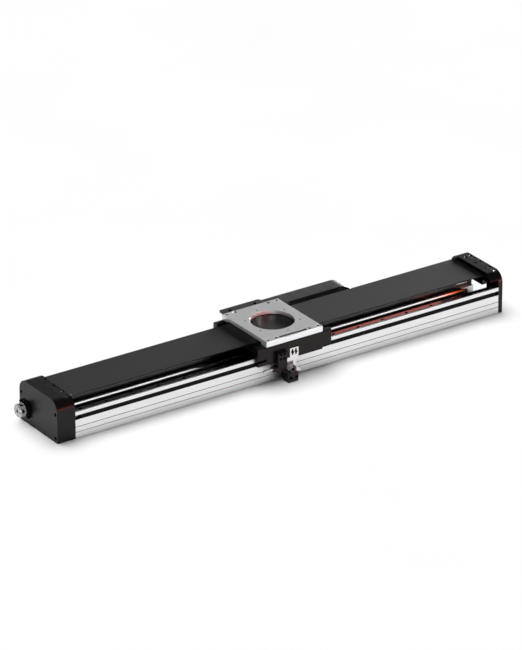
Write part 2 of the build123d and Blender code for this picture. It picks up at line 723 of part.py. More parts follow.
def connector_insert():
    """The moulded contact carrier inside the sleeve."""
    x0, x1 = sleeve_x1() - SHELL_L + INSERT_SUNK, LEFT + HOUSING_FACE
    diameter = SHELL_D - 2 * (SHELL_WALL + INSERT_SLACK)
    insert = pin_x(x0, x1, CONNECTOR_Y, CONNECTOR_Z, diameter)
    return insert - [pin_x(x0, x0 + CONTACT_HOLE_L, y, z, CONTACT_HOLE_D) for y, z in contact_places()]


def contact_places():
    """A ring of contacts round one in the middle."""
    turns = [math.tau * k / CONTACTS for k in range(CONTACTS)]
    ring = [(CONTACT_RING_R * math.cos(t), CONTACT_RING_R * math.sin(t)) for t in turns]
    return [(CONNECTOR_Y + y, CONNECTOR_Z + z) for y, z in ring + [(0.0, 0.0)]]


def connector_contacts():
    x0 = sleeve_x1() - SHELL_L + INSERT_SUNK + CONTACT_SUNK
    return group([pin_x(x0, x0 + CONTACT_L, y, z, CONTACT_D) for y, z in contact_places()])


def connector_screws():
    screw = Rot(0, -90, 0) * cap_screw(M3, THREAD_IN)
    return group([Pos(LEFT - FLANGE_T, y, z) * screw for y, z in flange_places()])


def stop_places():
    """The inner face of each stop and the way it faces. Both stand on the back rail."""
    return [(LEFT_STOP_X, 1), (RIGHT_STOP_X, -1)]


def rail_stops():
    """Clamp blocks on the ends of the back rail that carry the bumpers."""
    solids = []
    for x, way in stop_places():
        x0, x1 = sorted((x, x - way * STOP_L))
        body = block(x0, x1, RAIL_Y - STOP_W / 2, RAIL_Y + STOP_W / 2, SEAT_Z + STOP_FOOT, PLATE_TOP_Z)
        reach = RAIL_W / 2 + STOP_RAIL_SLACK
        body -= block(x0, x1, RAIL_Y - reach, RAIL_Y + reach, SEAT_Z, RAIL_TOP_Z + STOP_RAIL_SLACK / 2)
        hole_d, hole_l = BUMPER_HOLE
        h0, h1 = sorted((x, x - way * hole_l))
        solids.append(body - pin_x(h0, h1, RAIL_Y, bumper_z(), hole_d))
    return group(solids)


def bumper_z():
    return PLATE_Z + PLATE_T / 2


def bumpers():
    """Polyurethane buffers with a stem in the stop block."""
    solids = []
    stem_d, stem_l = BUMPER_STEM
    for x, way in stop_places():
        x0, x1 = sorted((x, x + way * BUMPER_L))
        s0, s1 = sorted((x, x - way * stem_l))
        head = pin_x(x0, x1, RAIL_Y, bumper_z(), BUMPER_D)
        head = fillet(head.edges().group_by(Axis.X)[-1 if way > 0 else 0], BUMPER_EDGE_R)
        solids.append(head + pin_x(s0, s1, RAIL_Y, bumper_z(), stem_d))
    return group(solids)


def block_places():
    """The middle of each guide block."""
    return [(CARRIAGE_X + a * BLOCK_X, b * RAIL_Y) for a in (-1, 1) for b in (-1, 1)]


def block_face(y, ridge=True):
    """A guide block's section over its rail, with the ball ridges that reach into the grooves."""
    half = RAIL_W / 2 + RUN_GAP
    outer = Pos(0, (BLOCK_FOOT + BLOCK_TOP) / 2) * Rectangle(BLOCK_W, BLOCK_TOP - BLOCK_FOOT)
    channel_top = RAIL_H + BLOCK_ROOF_GAP
    section = outer - Pos(0, channel_top / 2) * Rectangle(2 * half, channel_top)
    if ridge:
        section += [
            Pos(side * (RAIL_W / 2 + RAIL_GROOVE_OUT), RAIL_GROOVE_Z) * Circle(RAIL_GROOVE_R - RUN_GAP)
            for side in (-1, 1)
        ]
    return Plane.YZ * (Pos(y, SEAT_Z) * section)


def guide_blocks():
    """The steel bodies of the four blocks."""
    solids = []
    reach = BLOCK_SCREW_PITCH / 2
    for x, y in block_places():
        body = run(block_face(y), x - BLOCK_STEEL_L / 2, x + BLOCK_STEEL_L / 2)
        solids.append(body - [
            pin_z(x + a * reach, y + b * reach, PLATE_Z - TAPPED_DEPTH, PLATE_Z, M4[2])
            for a in (-1, 1) for b in (-1, 1)
        ])
    return group(solids)


def block_rings(near, length, low):
    """A slice at both ends of every block, from a place outside its middle, cut lower on top."""
    solids = []
    for x, y in block_places():
        for way in (-1, 1):
            x0, x1 = sorted((x + way * near, x + way * (near + length)))
            ring = run(block_face(y, ridge=False), x0, x1)
            solids.append(ring - block(x0, x1, y - BLOCK_W / 2, y + BLOCK_W / 2, PLATE_Z - low, PLATE_Z))
    return group(solids)


def block_end_caps():
    """The plastic ball returns at both ends of each block."""
    return block_rings(BLOCK_STEEL_L / 2, BLOCK_CAP_L, BLOCK_CAP_LOW)


def block_wipers():
    """The thin seals outside the ball returns."""
    return block_rings(BLOCK_STEEL_L / 2 + BLOCK_CAP_L, BLOCK_WIPER_L, BLOCK_WIPER_LOW)


def coil_screw_places():
    return [(CARRIAGE_X + k * COIL_L / 3, 0.0) for k in (-1, 0, 1)]


def carriage_screw_places():
    """Block and coil screws that are sunk in the carriage plate."""
    reach = BLOCK_SCREW_PITCH / 2
    places = [(x + a * reach, y + b * reach) for x, y in block_places() for a in (-1, 1) for b in (-1, 1)]
    return places + coil_screw_places()


def carriage_screw_seat():
    return PLATE_TOP_Z - M4[1] - HEAD_SINK


def ledge_screw_places():
    y = RISER_INNER_Y - LEDGE_W / 2
    steps = [(k - (LEDGE_SCREWS - 1) / 2) * LEDGE_SCREW_PITCH for k in range(LEDGE_SCREWS)]
    return [(CARRIAGE_X + step, side * y) for step in steps for side in (-1, 1)]


def carriage_plate():
    """The plate on the four blocks, under the cover."""
    plate = block(CARRIAGE_X0, CARRIAGE_X1, -RISER_INNER_Y, RISER_INNER_Y, PLATE_Z, PLATE_TOP_Z)
    seat, low = carriage_screw_seat(), PLATE_TOP_Z - TAPPED_DEPTH
    for x, y in carriage_screw_places():
        plate -= pin_z(x, y, PLATE_Z, PLATE_TOP_Z, M4[2] + HOLE_SLACK)
        plate -= pin_z(x, y, seat, PLATE_TOP_Z, M4[0] + HEAD_SLACK)
    return plate - [pin_z(x, y, low, PLATE_TOP_Z, M4[2]) for x, y in ledge_screw_places()]


def carriage_screws():
    seat = carriage_screw_seat()
    screw = cap_screw(M4, seat - PLATE_Z + THREAD_IN)
    return group([Pos(x, y, seat) * screw for x, y in carriage_screw_places()])


def coil_teeth():
    """The middle of each tooth, its width and the pitch between teeth."""
    pitch = COIL_L / COIL_TEETH
    middles = [CARRIAGE_X - COIL_L / 2 + (k + 0.5) * pitch for k in range(COIL_TEETH)]
    return middles, TOOTH_SHARE * pitch, pitch


def motor_core():
    """The laminated comb of the coil unit: a back plate and its teeth."""
    back_z = PLATE_Z - COIL_BACK_T
    core = block(CARRIAGE_X - COIL_L / 2, CARRIAGE_X + COIL_L / 2, -COIL_W / 2, COIL_W / 2, back_z, PLATE_Z)
    middles, tooth, _ = coil_teeth()
    half = COIL_W / 2 - WINDING_SIDE
    for x in middles:
        core += block(x - tooth / 2, x + tooth / 2, -half, half, MAGNET_TOP_Z + AIR_GAP, back_z)
    return core - [pin_z(x, y, back_z, PLATE_Z, M4[2]) for x, y in coil_screw_places()]


def motor_coils():
    """A rectangular winding round each tooth."""
    middles, tooth, pitch = coil_teeth()
    z0 = MAGNET_TOP_Z + AIR_GAP + WINDING_LOW
    z1 = PLATE_Z - COIL_BACK_T - WINDING_HIGH
    outer = RectangleRounded(pitch - COIL_GAP, COIL_W, COIL_CORNER_R)
    inner = Rectangle(tooth + 2 * WINDING_SLACK, COIL_W - 2 * (WINDING_SIDE - WINDING_SLACK))
    winding = extrude(outer - inner, amount=z1 - z0)
    return group([Pos(x, 0, z0) * winding for x in middles])


def encoder_head():
    """The reading head over the measuring tape."""
    x, y = CARRIAGE_X, -(RIB_OUTER_Y + RIB_INNER_Y) / 2
    z0 = RIB_TOP_Z + TAPE_T + HEAD_GAP
    return block(x - HEAD_L / 2, x + HEAD_L / 2, y - HEAD_W / 2, y + HEAD_W / 2, z0, PLATE_Z)


def riser(side):
    """A side bracket that carries the top plate round the edge of the cover."""
    shoulder_z = BASE_H + RISER_CLEAR
    low_y = WIDTH / 2 + RISER_CLEAR
    ledge_y = RISER_INNER_Y - LEDGE_W
    section = yz_face([
        (RISER_Y, RISER_BOTTOM_Z), (RISER_Y, RISER_TOP_Z), (RISER_INNER_Y, RISER_TOP_Z),
        (RISER_INNER_Y, PLATE_TOP_Z + LEDGE_T), (ledge_y, PLATE_TOP_Z + LEDGE_T),
        (ledge_y, PLATE_TOP_Z), (RISER_INNER_Y, PLATE_TOP_Z), (RISER_INNER_Y, shoulder_z),
        (low_y, shoulder_z), (low_y, RISER_BOTTOM_Z),
    ])
    body = run(section, CARRIAGE_X0, CARRIAGE_X1)
    edge = body.edges().filter_by(Axis.X).sort_by(lambda e: e.center().Y + e.center().Z)[-1]
    body = chamfer(edge, RISER_CHAMFER)
    step, notch = CARRIAGE_X1 - RISER_STEP_L, CARRIAGE_X0 + RISER_NOTCH_L
    notch_y = RISER_Y - RISER_NOTCH_DEPTH
    body -= block(step, CARRIAGE_X1, low_y - CUT_OVER, RISER_Y, RISER_BOTTOM_Z, RISER_STEP_Z)
    body -= block(CARRIAGE_X0, notch, notch_y, RISER_Y, RISER_NOTCH_Z0, RISER_NOTCH_Z1)
    body -= [pin_z(x, y, PLATE_TOP_Z, PLATE_TOP_Z + LEDGE_T, M4[2] + HOLE_SLACK)
             for x, y in ledge_screw_places() if y > 0]
    body -= [pin_z(x, y, RISER_TOP_Z - RISER_TAPPED_DEPTH, RISER_TOP_Z, M4[2])
             for x, y in fixing_places() if y > 0]
    return body if side > 0 else mirror(body, Plane.XZ)


def riser_front():
    """The front riser, with tapped holes for what is bolted on it."""
    places = switch_screw_places() + [(x, SENSOR_SLOT_Z) for x in sensor_slot_x()]
    return riser(-1) - [pin_y(x, -RISER_Y, -RISER_Y + TAPPED_DEPTH, z, M3[2]) for x, z in places]


def riser_back():
    """The back riser, with tapped holes for the cable bracket."""
    low = RISER_Y - TAPPED_DEPTH
    return riser(1) - [pin_y(x, low, RISER_Y, BRACKET_SCREW_Z, M4[2]) for x in bracket_screw_x()]


def riser_screws():
    screw = cap_screw(M4, LEDGE_T + THREAD_IN)
    return group([Pos(x, y, PLATE_TOP_Z + LEDGE_T) * screw for x, y in ledge_screw_places()])


def fixing_places():
    """Where the top plate is screwed to the risers."""
    return [(CARRIAGE_X + a * FIXING_X / 2, b * RISER_MID_Y) for a in (-1, 1) for b in (-1, 1)]


def fixing_seat():
    return TOP_PLATE_TOP_Z - M4[1] - FIXING_SINK


def top_plate():
    """The bright plate that carries the load, with its bore and hole patterns."""
    x0, x1 = CARRIAGE_X - TOP_PLATE_L / 2, CARRIAGE_X + TOP_PLATE_L / 2
    low = COVER_TOP_Z + COVER_CLEAR
    plate = block(x0, x1, -RISER_Y, RISER_Y, RISER_TOP_Z, TOP_PLATE_TOP_Z)
    plate = chamfer(plate.edges().group_by(Axis.Z)[-1], TOP_PLATE_CHAMFER)
    plate -= block(x0, x1, -RELIEF_HALF, RELIEF_HALF, RISER_TOP_Z, low)
    plate -= pin_z(CARRIAGE_X, 0, RISER_TOP_Z, TOP_PLATE_TOP_Z, BORE_D)
    ring = PolarLocations(RING_D / 2, RING_HOLES, start_angle=180 / RING_HOLES)
    plate -= [Pos(CARRIAGE_X, 0, 0) * place * pin_z(0, 0, low, TOP_PLATE_TOP_Z, RING_HOLE_D)
              for place in ring.locations]
    payload = [(CARRIAGE_X + a * PAYLOAD_X / 2, b * RISER_MID_Y) for a in (-1, 1) for b in (-1, 1)]
    plate -= [pin_z(x, y, RISER_TOP_Z, TOP_PLATE_TOP_Z, PAYLOAD_HOLE_D) for x, y in payload]
    for x, y in fixing_places():
        plate -= pin_z(x, y, RISER_TOP_Z, TOP_PLATE_TOP_Z, M4[2] + HOLE_SLACK)
        plate -= pin_z(x, y, fixing_seat(), TOP_PLATE_TOP_Z, M4[0] + HEAD_SLACK)
    return plate - strip(0.0, TOP_PLATE_TOP_Z)


def strip(slack, top):
    """The body of the recess near the front edge of the top plate, or of what fills it."""
    x, y = CARRIAGE_X, -RISER_MID_Y
    reach, half = STRIP_L / 2 - slack, STRIP_W / 2 - slack
    return block(x - reach, x + reach, y - half, y + half, TOP_PLATE_TOP_Z - STRIP_DEPTH, top)


def plate_strip():
    """A dark strip in the recess of the top plate."""
    return strip(STRIP_SLACK, TOP_PLATE_TOP_Z - STRIP_SUNK)


def top_plate_screws():
    screw = cap_screw(M4, fixing_seat() - RISER_TOP_Z + RISER_TAPPED_DEPTH - CUT_OVER)
    return group([Pos(x, y, fixing_seat()) * screw for x, y in fixing_places()])


def bracket_screw_x():
    mid = MOVING_END_X + MOVING_END_L / 2
    return [mid - BRACKET_SCREW_PITCH / 2, mid + BRACKET_SCREW_PITCH / 2]


def chain_bracket():
    """The angle that carries the moving end of the cable carrier from the back riser."""
    x0, x1 = MOVING_END_X, MOVING_END_X + MOVING_END_L
    z1, flange_y = CHAIN_TOP_Z + BRACKET_T, RISER_Y + BRACKET_T
    shelf = block(x0, x1, RISER_Y, CHAIN_Y + CHAIN_W, CHAIN_TOP_Z, z1)
    shelf = fillet(shelf.edges().filter_by(Axis.Z).group_by(Axis.Y)[-1], BRACKET_CORNER_R)
    bracket = shelf + block(x0, x1, RISER_Y, flange_y, BRACKET_SCREW_Z - BRACKET_DROP, CHAIN_TOP_Z)
    bracket -= [pin_y(x, RISER_Y, flange_y, BRACKET_SCREW_Z, M4[2] + HOLE_SLACK) for x in bracket_screw_x()]
    return bracket - [pin_z(x, y, CHAIN_TOP_Z, z1, M3[2] + HOLE_SLACK) for x, y in end_screw_places()]


def end_screw_places():
    """The screws that hold the end piece of the carrier under its bracket."""
    rows = (CHAIN_Y + END_SCREW_SIDE, CHAIN_Y + CHAIN_W - END_SCREW_SIDE)
    return [(x, y) for x in bracket_screw_x() for y in rows]


def chain_bracket_screws():
    side_screw = Rot(-90, 0, 0) * cap_screw(FLAT_M4, BRACKET_T + THREAD_IN)
    top_screw = cap_screw(FLAT_M3, BRACKET_T + CHAIN_WALL)
    side = [Pos(x, RISER_Y + BRACKET_T, BRACKET_SCREW_Z) * side_screw for x in bracket_screw_x()]
    top = [Pos(x, y, CHAIN_TOP_Z + BRACKET_T) * top_screw for x, y in end_screw_places()]
    return group(side + top)


def link_face(z0):
    """The closed section of one carrier link."""
    outer = RectangleRounded(CHAIN_W, CHAIN_T, CHAIN_CORNER_R)
    inner = RectangleRounded(CHAIN_W - 2 * CHAIN_WALL, CHAIN_T - 2 * CHAIN_WALL, CHAIN_INNER_R)
    return Plane.YZ * (Pos(CHAIN_MID_Y, z0 + CHAIN_T / 2) * (outer - inner))


def straight_links(x0, x1, count, z0):
    pitch = (x1 - x0) / count
    return group([
        run(link_face(z0), x0 + k * pitch + CHAIN_GAP / 2, x0 + (k + 1) * pitch - CHAIN_GAP / 2)
        for k in range(count)
    ])


def chain_upper():
    """The upper run of the carrier at the rest place of the carriage."""
    return straight_links(MOVING_END_X + MOVING_END_L, BEND_X, UPPER_LINKS, CHAIN_TOP_Z - CHAIN_T)


def chain_lower():
    """The lower run of the carrier, which lies in the tray."""
    return straight_links(FIXED_END_X + FIXED_END_L, BEND_X, LOWER_LINKS, CHAIN_FLOOR_Z)


def chain_bend():
    """The half turn of the carrier: short links round one centre."""
    axis = Axis((BEND_X, 0, BEND_Z), (0, 1, 0))
    step = 180.0 / BEND_LINKS
    slack = math.degrees(CHAIN_GAP / BEND_R)
    link = revolve(Pos(BEND_X, 0, 0) * link_face(CHAIN_TOP_Z - CHAIN_T), axis, step - slack)
    return group([link.rotate(axis, k * step + slack / 2) for k in range(BEND_LINKS)])


def chain_moving_end():
    """The end piece of the carrier under its bracket."""
    x0, x1 = MOVING_END_X + MOVING_END_INSET, MOVING_END_X + MOVING_END_L - CHAIN_GAP / 2
    body = run(link_face(CHAIN_TOP_Z - CHAIN_T), x0, x1)
    return body - [pin_z(x, y, CHAIN_TOP_Z - CHAIN_WALL, CHAIN_TOP_Z, M3[2]) for x, y in end_screw_places()]


def chain_fixed_end():
    """The end piece of the carrier on the tray."""
    x0, x1 = FIXED_END_X, FIXED_END_X + FIXED_END_L
    y0, y1 = CHAIN_Y + FIXED_FOOT_SIDE, CHAIN_Y + CHAIN_W - FIXED_FOOT_SIDE
    body = run(link_face(CHAIN_FLOOR_Z), x0, x1 - CHAIN_GAP / 2)
    return body + block(x0, x1 - FIXED_FOOT_SHORT, y0, y1, TRAY_T, CHAIN_FLOOR_Z)


def chain_tray():
    """The folded trough on the back of the base that the lower run lies in."""
    outer_y = CHAIN_Y + CHAIN_W + TRAY_SIDE
    tray = block(TRAY_X0, TRAY_X1, BACK, outer_y, 0, TRAY_T)
    tray += block(TRAY_X0, TRAY_X1, outer_y - TRAY_T, outer_y, 0, TRAY_LIP)
    tray += block(TRAY_X0, TRAY_X1, BACK, BACK + TRAY_T, 0, TRAY_FRONT_LIP)
    return tray - [pin_y(x, BACK, BACK + TRAY_T, TRAY_SCREW_Z, M4[2] + HOLE_SLACK) for x in tray_screw_x()]


def tray_screw_x():
    """The screws of the tray, spread evenly between its two ends."""
    first, last = TRAY_X0 + TRAY_SCREW_START, TRAY_X1 - TRAY_SCREW_END
    return [first + k * (last - first) / (TRAY_SCREWS - 1) for k in range(TRAY_SCREWS)]


def tray_screws():
    screw = Rot(-90, 0, 0) * cap_screw(FLAT_M4, TRAY_T + CHAMBER_WALL)
    return group([Pos(x, BACK + TRAY_T, TRAY_SCREW_Z) * screw for x in tray_screw_x()])


def switch_screw_places():
    reach_x, reach_z = (pitch / 2 for pitch in SWITCH_HOLE_PITCH)
    return [(SWITCH_X + a * reach_x, SWITCH_HOLE_Z + b * reach_z) for a in (-1, 1) for b in (-1, 1)]


def switch_seat():
    """The depth of the screw heads in the switch block."""
    return M3[1] + SWITCH_HOLE_SUNK


def switch_block():
    """The black block bolted to the front riser, with a sloping top."""
    y0 = -RISER_Y - SWITCH_T
    outline = yz_face([
        (-RISER_Y, SWITCH_Z0), (-RISER_Y, SWITCH_Z1), (y0, SWITCH_Z1 - SWITCH_SLOPE), (y0, SWITCH_Z0),
    ])
    body = run(outline, SWITCH_X - SWITCH_W / 2, SWITCH_X + SWITCH_W / 2)
    body -= [pin_y(x, y0, -RISER_Y, z, M3[2] + HOLE_SLACK) for x, z in switch_screw_places()]
    return body - [pin_y(x, y0, y0 + switch_seat(), z, M3[0] + HEAD_SLACK) for x, z in switch_screw_places()]


def switch_screws():
    screw = Rot(90, 0, 0) * cap_screw(M3, SWITCH_T - switch_seat() + THREAD_IN)
    return group([Pos(x, switch_seat() - RISER_Y - SWITCH_T, z) * screw for x, z in switch_screw_places()])


def switch_barrel():
    """The round sensor body on the side of the block."""
    x1 = SWITCH_X - SWITCH_W / 2
    body = pin_x(x1 - BARREL_L, x1, -RISER_Y - SWITCH_T / 2, BARREL_Z, BARREL_D)
    return chamfer(body.edges().group_by(Axis.X)[0], BARREL_CHAMFER)


def switch_flag():
    """The slim bar in front of the barrel."""
    x1 = SWITCH_X - SWITCH_W / 2 - BARREL_L
    y, z = -RISER_Y - SWITCH_T / 2, BARREL_Z
    return block(x1 - FLAG_L, x1, y - FLAG_W / 2, y + FLAG_W / 2, z - FLAG_H / 2, z + FLAG_H / 2)


def sensor_slot_x():
    return [SENSOR_PLATE_X - SENSOR_SLOT_PITCH / 2, SENSOR_PLATE_X + SENSOR_SLOT_PITCH / 2]


def sensor_bracket():
    """The bright sheet angle with two slots, a tongue and a shelf for the sensor box."""
    y0, y1 = -RISER_Y - SENSOR_SHEET, -RISER_Y
    shelf_z = SENSOR_BOX_Z + SENSOR_BOX[2]
    x0, x1 = SENSOR_PLATE_X - SENSOR_PLATE_W / 2, SENSOR_PLATE_X + SENSOR_PLATE_W / 2
    tongue = SENSOR_PLATE_X - TONGUE_BACK
    sheet = block(x0, x1, y0, y1, SENSOR_LOW_Z, SENSOR_TOP_Z)
    sheet += block(x0 - SENSOR_TAB, x0, y0, y1, SENSOR_LOW_Z, SENSOR_LOW_Z + SENSOR_TAB)
    sheet += block(tongue, tongue + TONGUE_W, y0, y1, shelf_z, SENSOR_LOW_Z)
    sheet += block(SENSOR_BOX_X - SHELF_LEAD, x1 - SHELF_END, y1 - SHELF_DEPTH, y1, shelf_z,
                   shelf_z + SENSOR_SHEET)
    outline = SlotOverall(SENSOR_SLOT_L, SENSOR_SLOT_W, rotation=90)
    slots = [Plane.XZ * (Pos(x, SENSOR_SLOT_Z) * outline) for x in sensor_slot_x()]
    sheet -= [Pos(0, y1, 0) * extrude(slot, amount=SENSOR_SHEET, dir=(0, -1, 0)) for slot in slots]
    x, y = shelf_screw_place()
    return sheet - pin_z(x, y, shelf_z, shelf_z + SENSOR_SHEET, M3[2] + HOLE_SLACK)


def shelf_screw_place():
    lead, depth = SHELF_SCREW
    return SENSOR_BOX_X + lead, -RISER_Y - depth


def sensor_box():
    """The rounded black sensor that hangs in front of the base."""
    w, d, h = SENSOR_BOX
    y1 = -RISER_Y - SENSOR_BOX_GAP
    top = SENSOR_BOX_Z + h
    box = block(SENSOR_BOX_X - w / 2, SENSOR_BOX_X + w / 2, y1 - d, y1, SENSOR_BOX_Z, top)
    box = fillet(box.edges().filter_by(Axis.Z).group_by(Axis.Y)[0], SENSOR_BOX_R)
    for x, z in sensor_box_screw_places():
        box -= pin_y(x, y1 - d, y1 - d + SENSOR_BOX_SUNK, z, SENSOR_BOX_HOLE_D)
        box -= pin_y(x, y1 - d, y1, z, M3[2])
    x, y = shelf_screw_place()
    return box - pin_z(x, y, top - THREAD_IN, top, M3[2])


def sensor_box_screw_places():
    return [(SENSOR_BOX_X + step, SENSOR_BOX_Z + SENSOR_BOX[2] / 2) for step in SENSOR_BOX_SCREWS]


def sensor_screws():
    """Screws of the sensor: two in the slots, one in the shelf and two in the box."""
    w, d, h = SENSOR_BOX
    slot_screw = Rot(90, 0, 0) * cap_screw(FLAT_M3, SENSOR_SHEET + THREAD_IN)
    screws = [Pos(x, -RISER_Y - SENSOR_SHEET, SENSOR_SLOT_Z) * slot_screw for x in sensor_slot_x()]
    x, y = shelf_screw_place()
    screws.append(Pos(x, y, SENSOR_BOX_Z + h + SENSOR_SHEET) * cap_screw(FLAT_M3, THREAD_IN))
    front = Rot(90, 0, 0) * cap_screw(M3, d - SENSOR_BOX_SUNK)
    seat = SENSOR_BOX_SUNK - RISER_Y - SENSOR_BOX_GAP - d
    return group(screws + [Pos(x, seat, z) * front for x, z in sensor_box_screw_places()])


PARTS = {
    "base_extrusion": base_extrusion,
    "slot_cover_front": lambda: slot_cover(-1),
    "slot_cover_back": lambda: slot_cover(1),
    "guide_rail_front": lambda: guide_rail(-RAIL_Y),
    "guide_rail_back": lambda: guide_rail(RAIL_Y),
    "rail_screws": rail_screws,
    "magnet_yokes": magnet_yokes,
    "magnets": magnets,
    "magnet_covers": magnet_covers,
    "encoder_tape": encoder_tape,
    "left_end_plate": left_end_plate,
    "left_end_housing": left_end_housing,
    "right_end_plate": right_end_plate,
    "right_clamp_bar": right_clamp_bar,
    "top_cover": top_cover,
    "cover_screws": cover_screws,
    "housing_screws": housing_screws,
    "end_plate_screws": end_plate_screws,
    "connector_flange": connector_flange,
    "connector_shell": connector_shell,
    "connector_insert": connector_insert,
    "connector_contacts": connector_contacts,
    "connector_screws": connector_screws,
    "rail_stops": rail_stops,
    "bumpers": bumpers,
    "guide_blocks": guide_blocks,
    "block_end_caps": block_end_caps,
    "block_wipers": block_wipers,
    "carriage_plate": carriage_plate,
    "carriage_screws": carriage_screws,
    "motor_core": motor_core,
    "motor_coils": motor_coils,
    "encoder_head": encoder_head,
    "riser_front": riser_front,
    "riser_back": riser_back,
    "riser_screws": riser_screws,
    "top_plate": top_plate,
    "plate_strip": plate_strip,
    "top_plate_screws": top_plate_screws,
    "chain_bracket": chain_bracket,
    "chain_bracket_screws": chain_bracket_screws,
    "chain_moving_end": chain_moving_end,
    "chain_upper": chain_upper,
    "chain_bend": chain_bend,
    "chain_lower": chain_lower,
    "chain_fixed_end": chain_fixed_end,
    "chain_tray": chain_tray,
    "tray_screws": tray_screws,
    "switch_block": switch_block,
    "switch_screws": switch_screws,
    "switch_barrel": switch_barrel,
    "switch_flag": switch_flag,
    "sensor_bracket": sensor_bracket,
    "sensor_box": sensor_box,
    "sensor_screws": sensor_screws,
}

for name, make in PARTS.items():
    export_step(make(), f"parts/{name}.step")
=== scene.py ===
# %% [markdown]
# A linear motor stage: a long extruded base with a magnet track and two guide rails, black end
# blocks, a fixed cover sheet, and a carriage that runs over the cover on two risers. The packed
# model already has every piece at its real place, so this script gives each one its finish. It
# makes again, as finer meshes, the pieces whose shape shows most: the screws, the cover, the
# cable carrier, the connector, the bumpers and the sensor's barrel.

# %% Load the frame
import json
import math

import bmesh
import bpy
import numpy as np
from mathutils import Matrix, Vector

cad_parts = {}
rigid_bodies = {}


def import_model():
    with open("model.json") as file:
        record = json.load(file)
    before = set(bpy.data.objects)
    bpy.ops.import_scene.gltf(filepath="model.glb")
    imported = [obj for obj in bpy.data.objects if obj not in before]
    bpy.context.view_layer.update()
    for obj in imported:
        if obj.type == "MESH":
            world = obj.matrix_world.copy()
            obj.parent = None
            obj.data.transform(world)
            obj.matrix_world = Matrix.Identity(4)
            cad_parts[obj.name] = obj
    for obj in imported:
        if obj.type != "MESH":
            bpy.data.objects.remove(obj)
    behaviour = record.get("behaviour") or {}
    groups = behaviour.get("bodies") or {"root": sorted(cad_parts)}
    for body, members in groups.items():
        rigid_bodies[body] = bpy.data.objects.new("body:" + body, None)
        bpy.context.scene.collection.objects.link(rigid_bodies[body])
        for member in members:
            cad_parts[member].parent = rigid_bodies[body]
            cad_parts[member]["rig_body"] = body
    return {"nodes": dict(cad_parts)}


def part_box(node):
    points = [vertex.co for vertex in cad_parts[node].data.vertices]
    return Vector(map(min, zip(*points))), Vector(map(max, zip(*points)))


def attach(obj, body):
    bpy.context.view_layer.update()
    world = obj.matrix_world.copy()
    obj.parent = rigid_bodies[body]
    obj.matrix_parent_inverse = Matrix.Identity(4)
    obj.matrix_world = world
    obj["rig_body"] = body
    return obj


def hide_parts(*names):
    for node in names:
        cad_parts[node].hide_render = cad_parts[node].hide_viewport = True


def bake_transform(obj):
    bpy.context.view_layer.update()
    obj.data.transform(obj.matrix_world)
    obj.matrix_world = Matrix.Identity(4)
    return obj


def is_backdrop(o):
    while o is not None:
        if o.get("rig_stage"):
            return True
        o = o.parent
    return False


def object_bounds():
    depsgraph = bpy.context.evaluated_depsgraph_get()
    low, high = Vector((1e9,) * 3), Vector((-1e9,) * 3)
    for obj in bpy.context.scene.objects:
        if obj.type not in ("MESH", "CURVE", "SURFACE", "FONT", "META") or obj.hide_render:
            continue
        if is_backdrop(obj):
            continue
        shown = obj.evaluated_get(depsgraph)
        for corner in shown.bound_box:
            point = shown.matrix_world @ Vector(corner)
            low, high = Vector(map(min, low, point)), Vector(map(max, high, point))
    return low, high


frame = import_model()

MM = 0.001
NODES = frame["nodes"]
CAD_BOX = [list(corner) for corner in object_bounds()]
print("nodes", len(NODES), "box in mm", [[round(v / MM, 1) for v in corner] for corner in CAD_BOX])


def corners(node):
    """The lowest and the highest corner of a node as arrays, in metres."""
    low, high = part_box(node)
    return np.array(low), np.array(high)


# %% [markdown]
# The camera stands where the photograph was taken from: far away and with a long lens, so that
# the two long edges of the base run almost parallel. Its place comes from the corners of the end
# blocks and the circle of six holes on the load plate.

# %% Camera
CAMERA_AZIMUTH = 34.29
CAMERA_ELEVATION = 25.24
CAMERA_PLACE = (-4.9825, -7.2875, 4.2471)
CAMERA_LENS = 337.9
SENSOR = 36.0

lens = bpy.data.cameras.new("camera")
lens.sensor_fit = "HORIZONTAL"
lens.sensor_width = SENSOR
lens.lens = CAMERA_LENS
lens.clip_end = 100.0
camera = bpy.data.objects.new("camera", lens)
camera.location = CAMERA_PLACE
camera.rotation_euler = (math.radians(90 - CAMERA_ELEVATION), 0, math.radians(-CAMERA_AZIMUTH))
bpy.context.scene.collection.objects.link(camera)
bpy.context.scene.camera = camera
bpy.context.scene.view_settings.view_transform = "Standard"
print("camera", round(math.dist(CAMERA_PLACE, (0, 0, 0)), 2), "m away, lens", CAMERA_LENS, "mm")


# %% [markdown]
# A surface here is a grid of points worked out with numpy. The faces between the points are
# always the same, so one helper makes them for an open sheet, a tube or a ring. Each piece gets
# weighted normals, which keep its large faces flat in the light next to their rounded edges.

# %% From a grid of points to a piece
def grid_faces(rows, columns, close_rows=False, close_columns=False):
    """Quads between neighbouring points: corner (i, j) is joined with i+1 and j+1, counted round."""
    i = np.arange(rows if close_rows else rows - 1)
    j = np.arange(columns if close_columns else columns - 1)
    i, j = (a.ravel() for a in np.meshgrid(i, j, indexing="ij"))
    i2, j2 = (i + 1) % rows, (j + 1) % columns
    return np.stack([i * columns + j, i2 * columns + j, i2 * columns + j2, i * columns + j2], axis=1)


# %% A mesh object from points and faces
SHARP_ANGLE = math.radians(35)
MERGE_DISTANCE = 0.001 * MM
BY_AREA_ALONE = 100


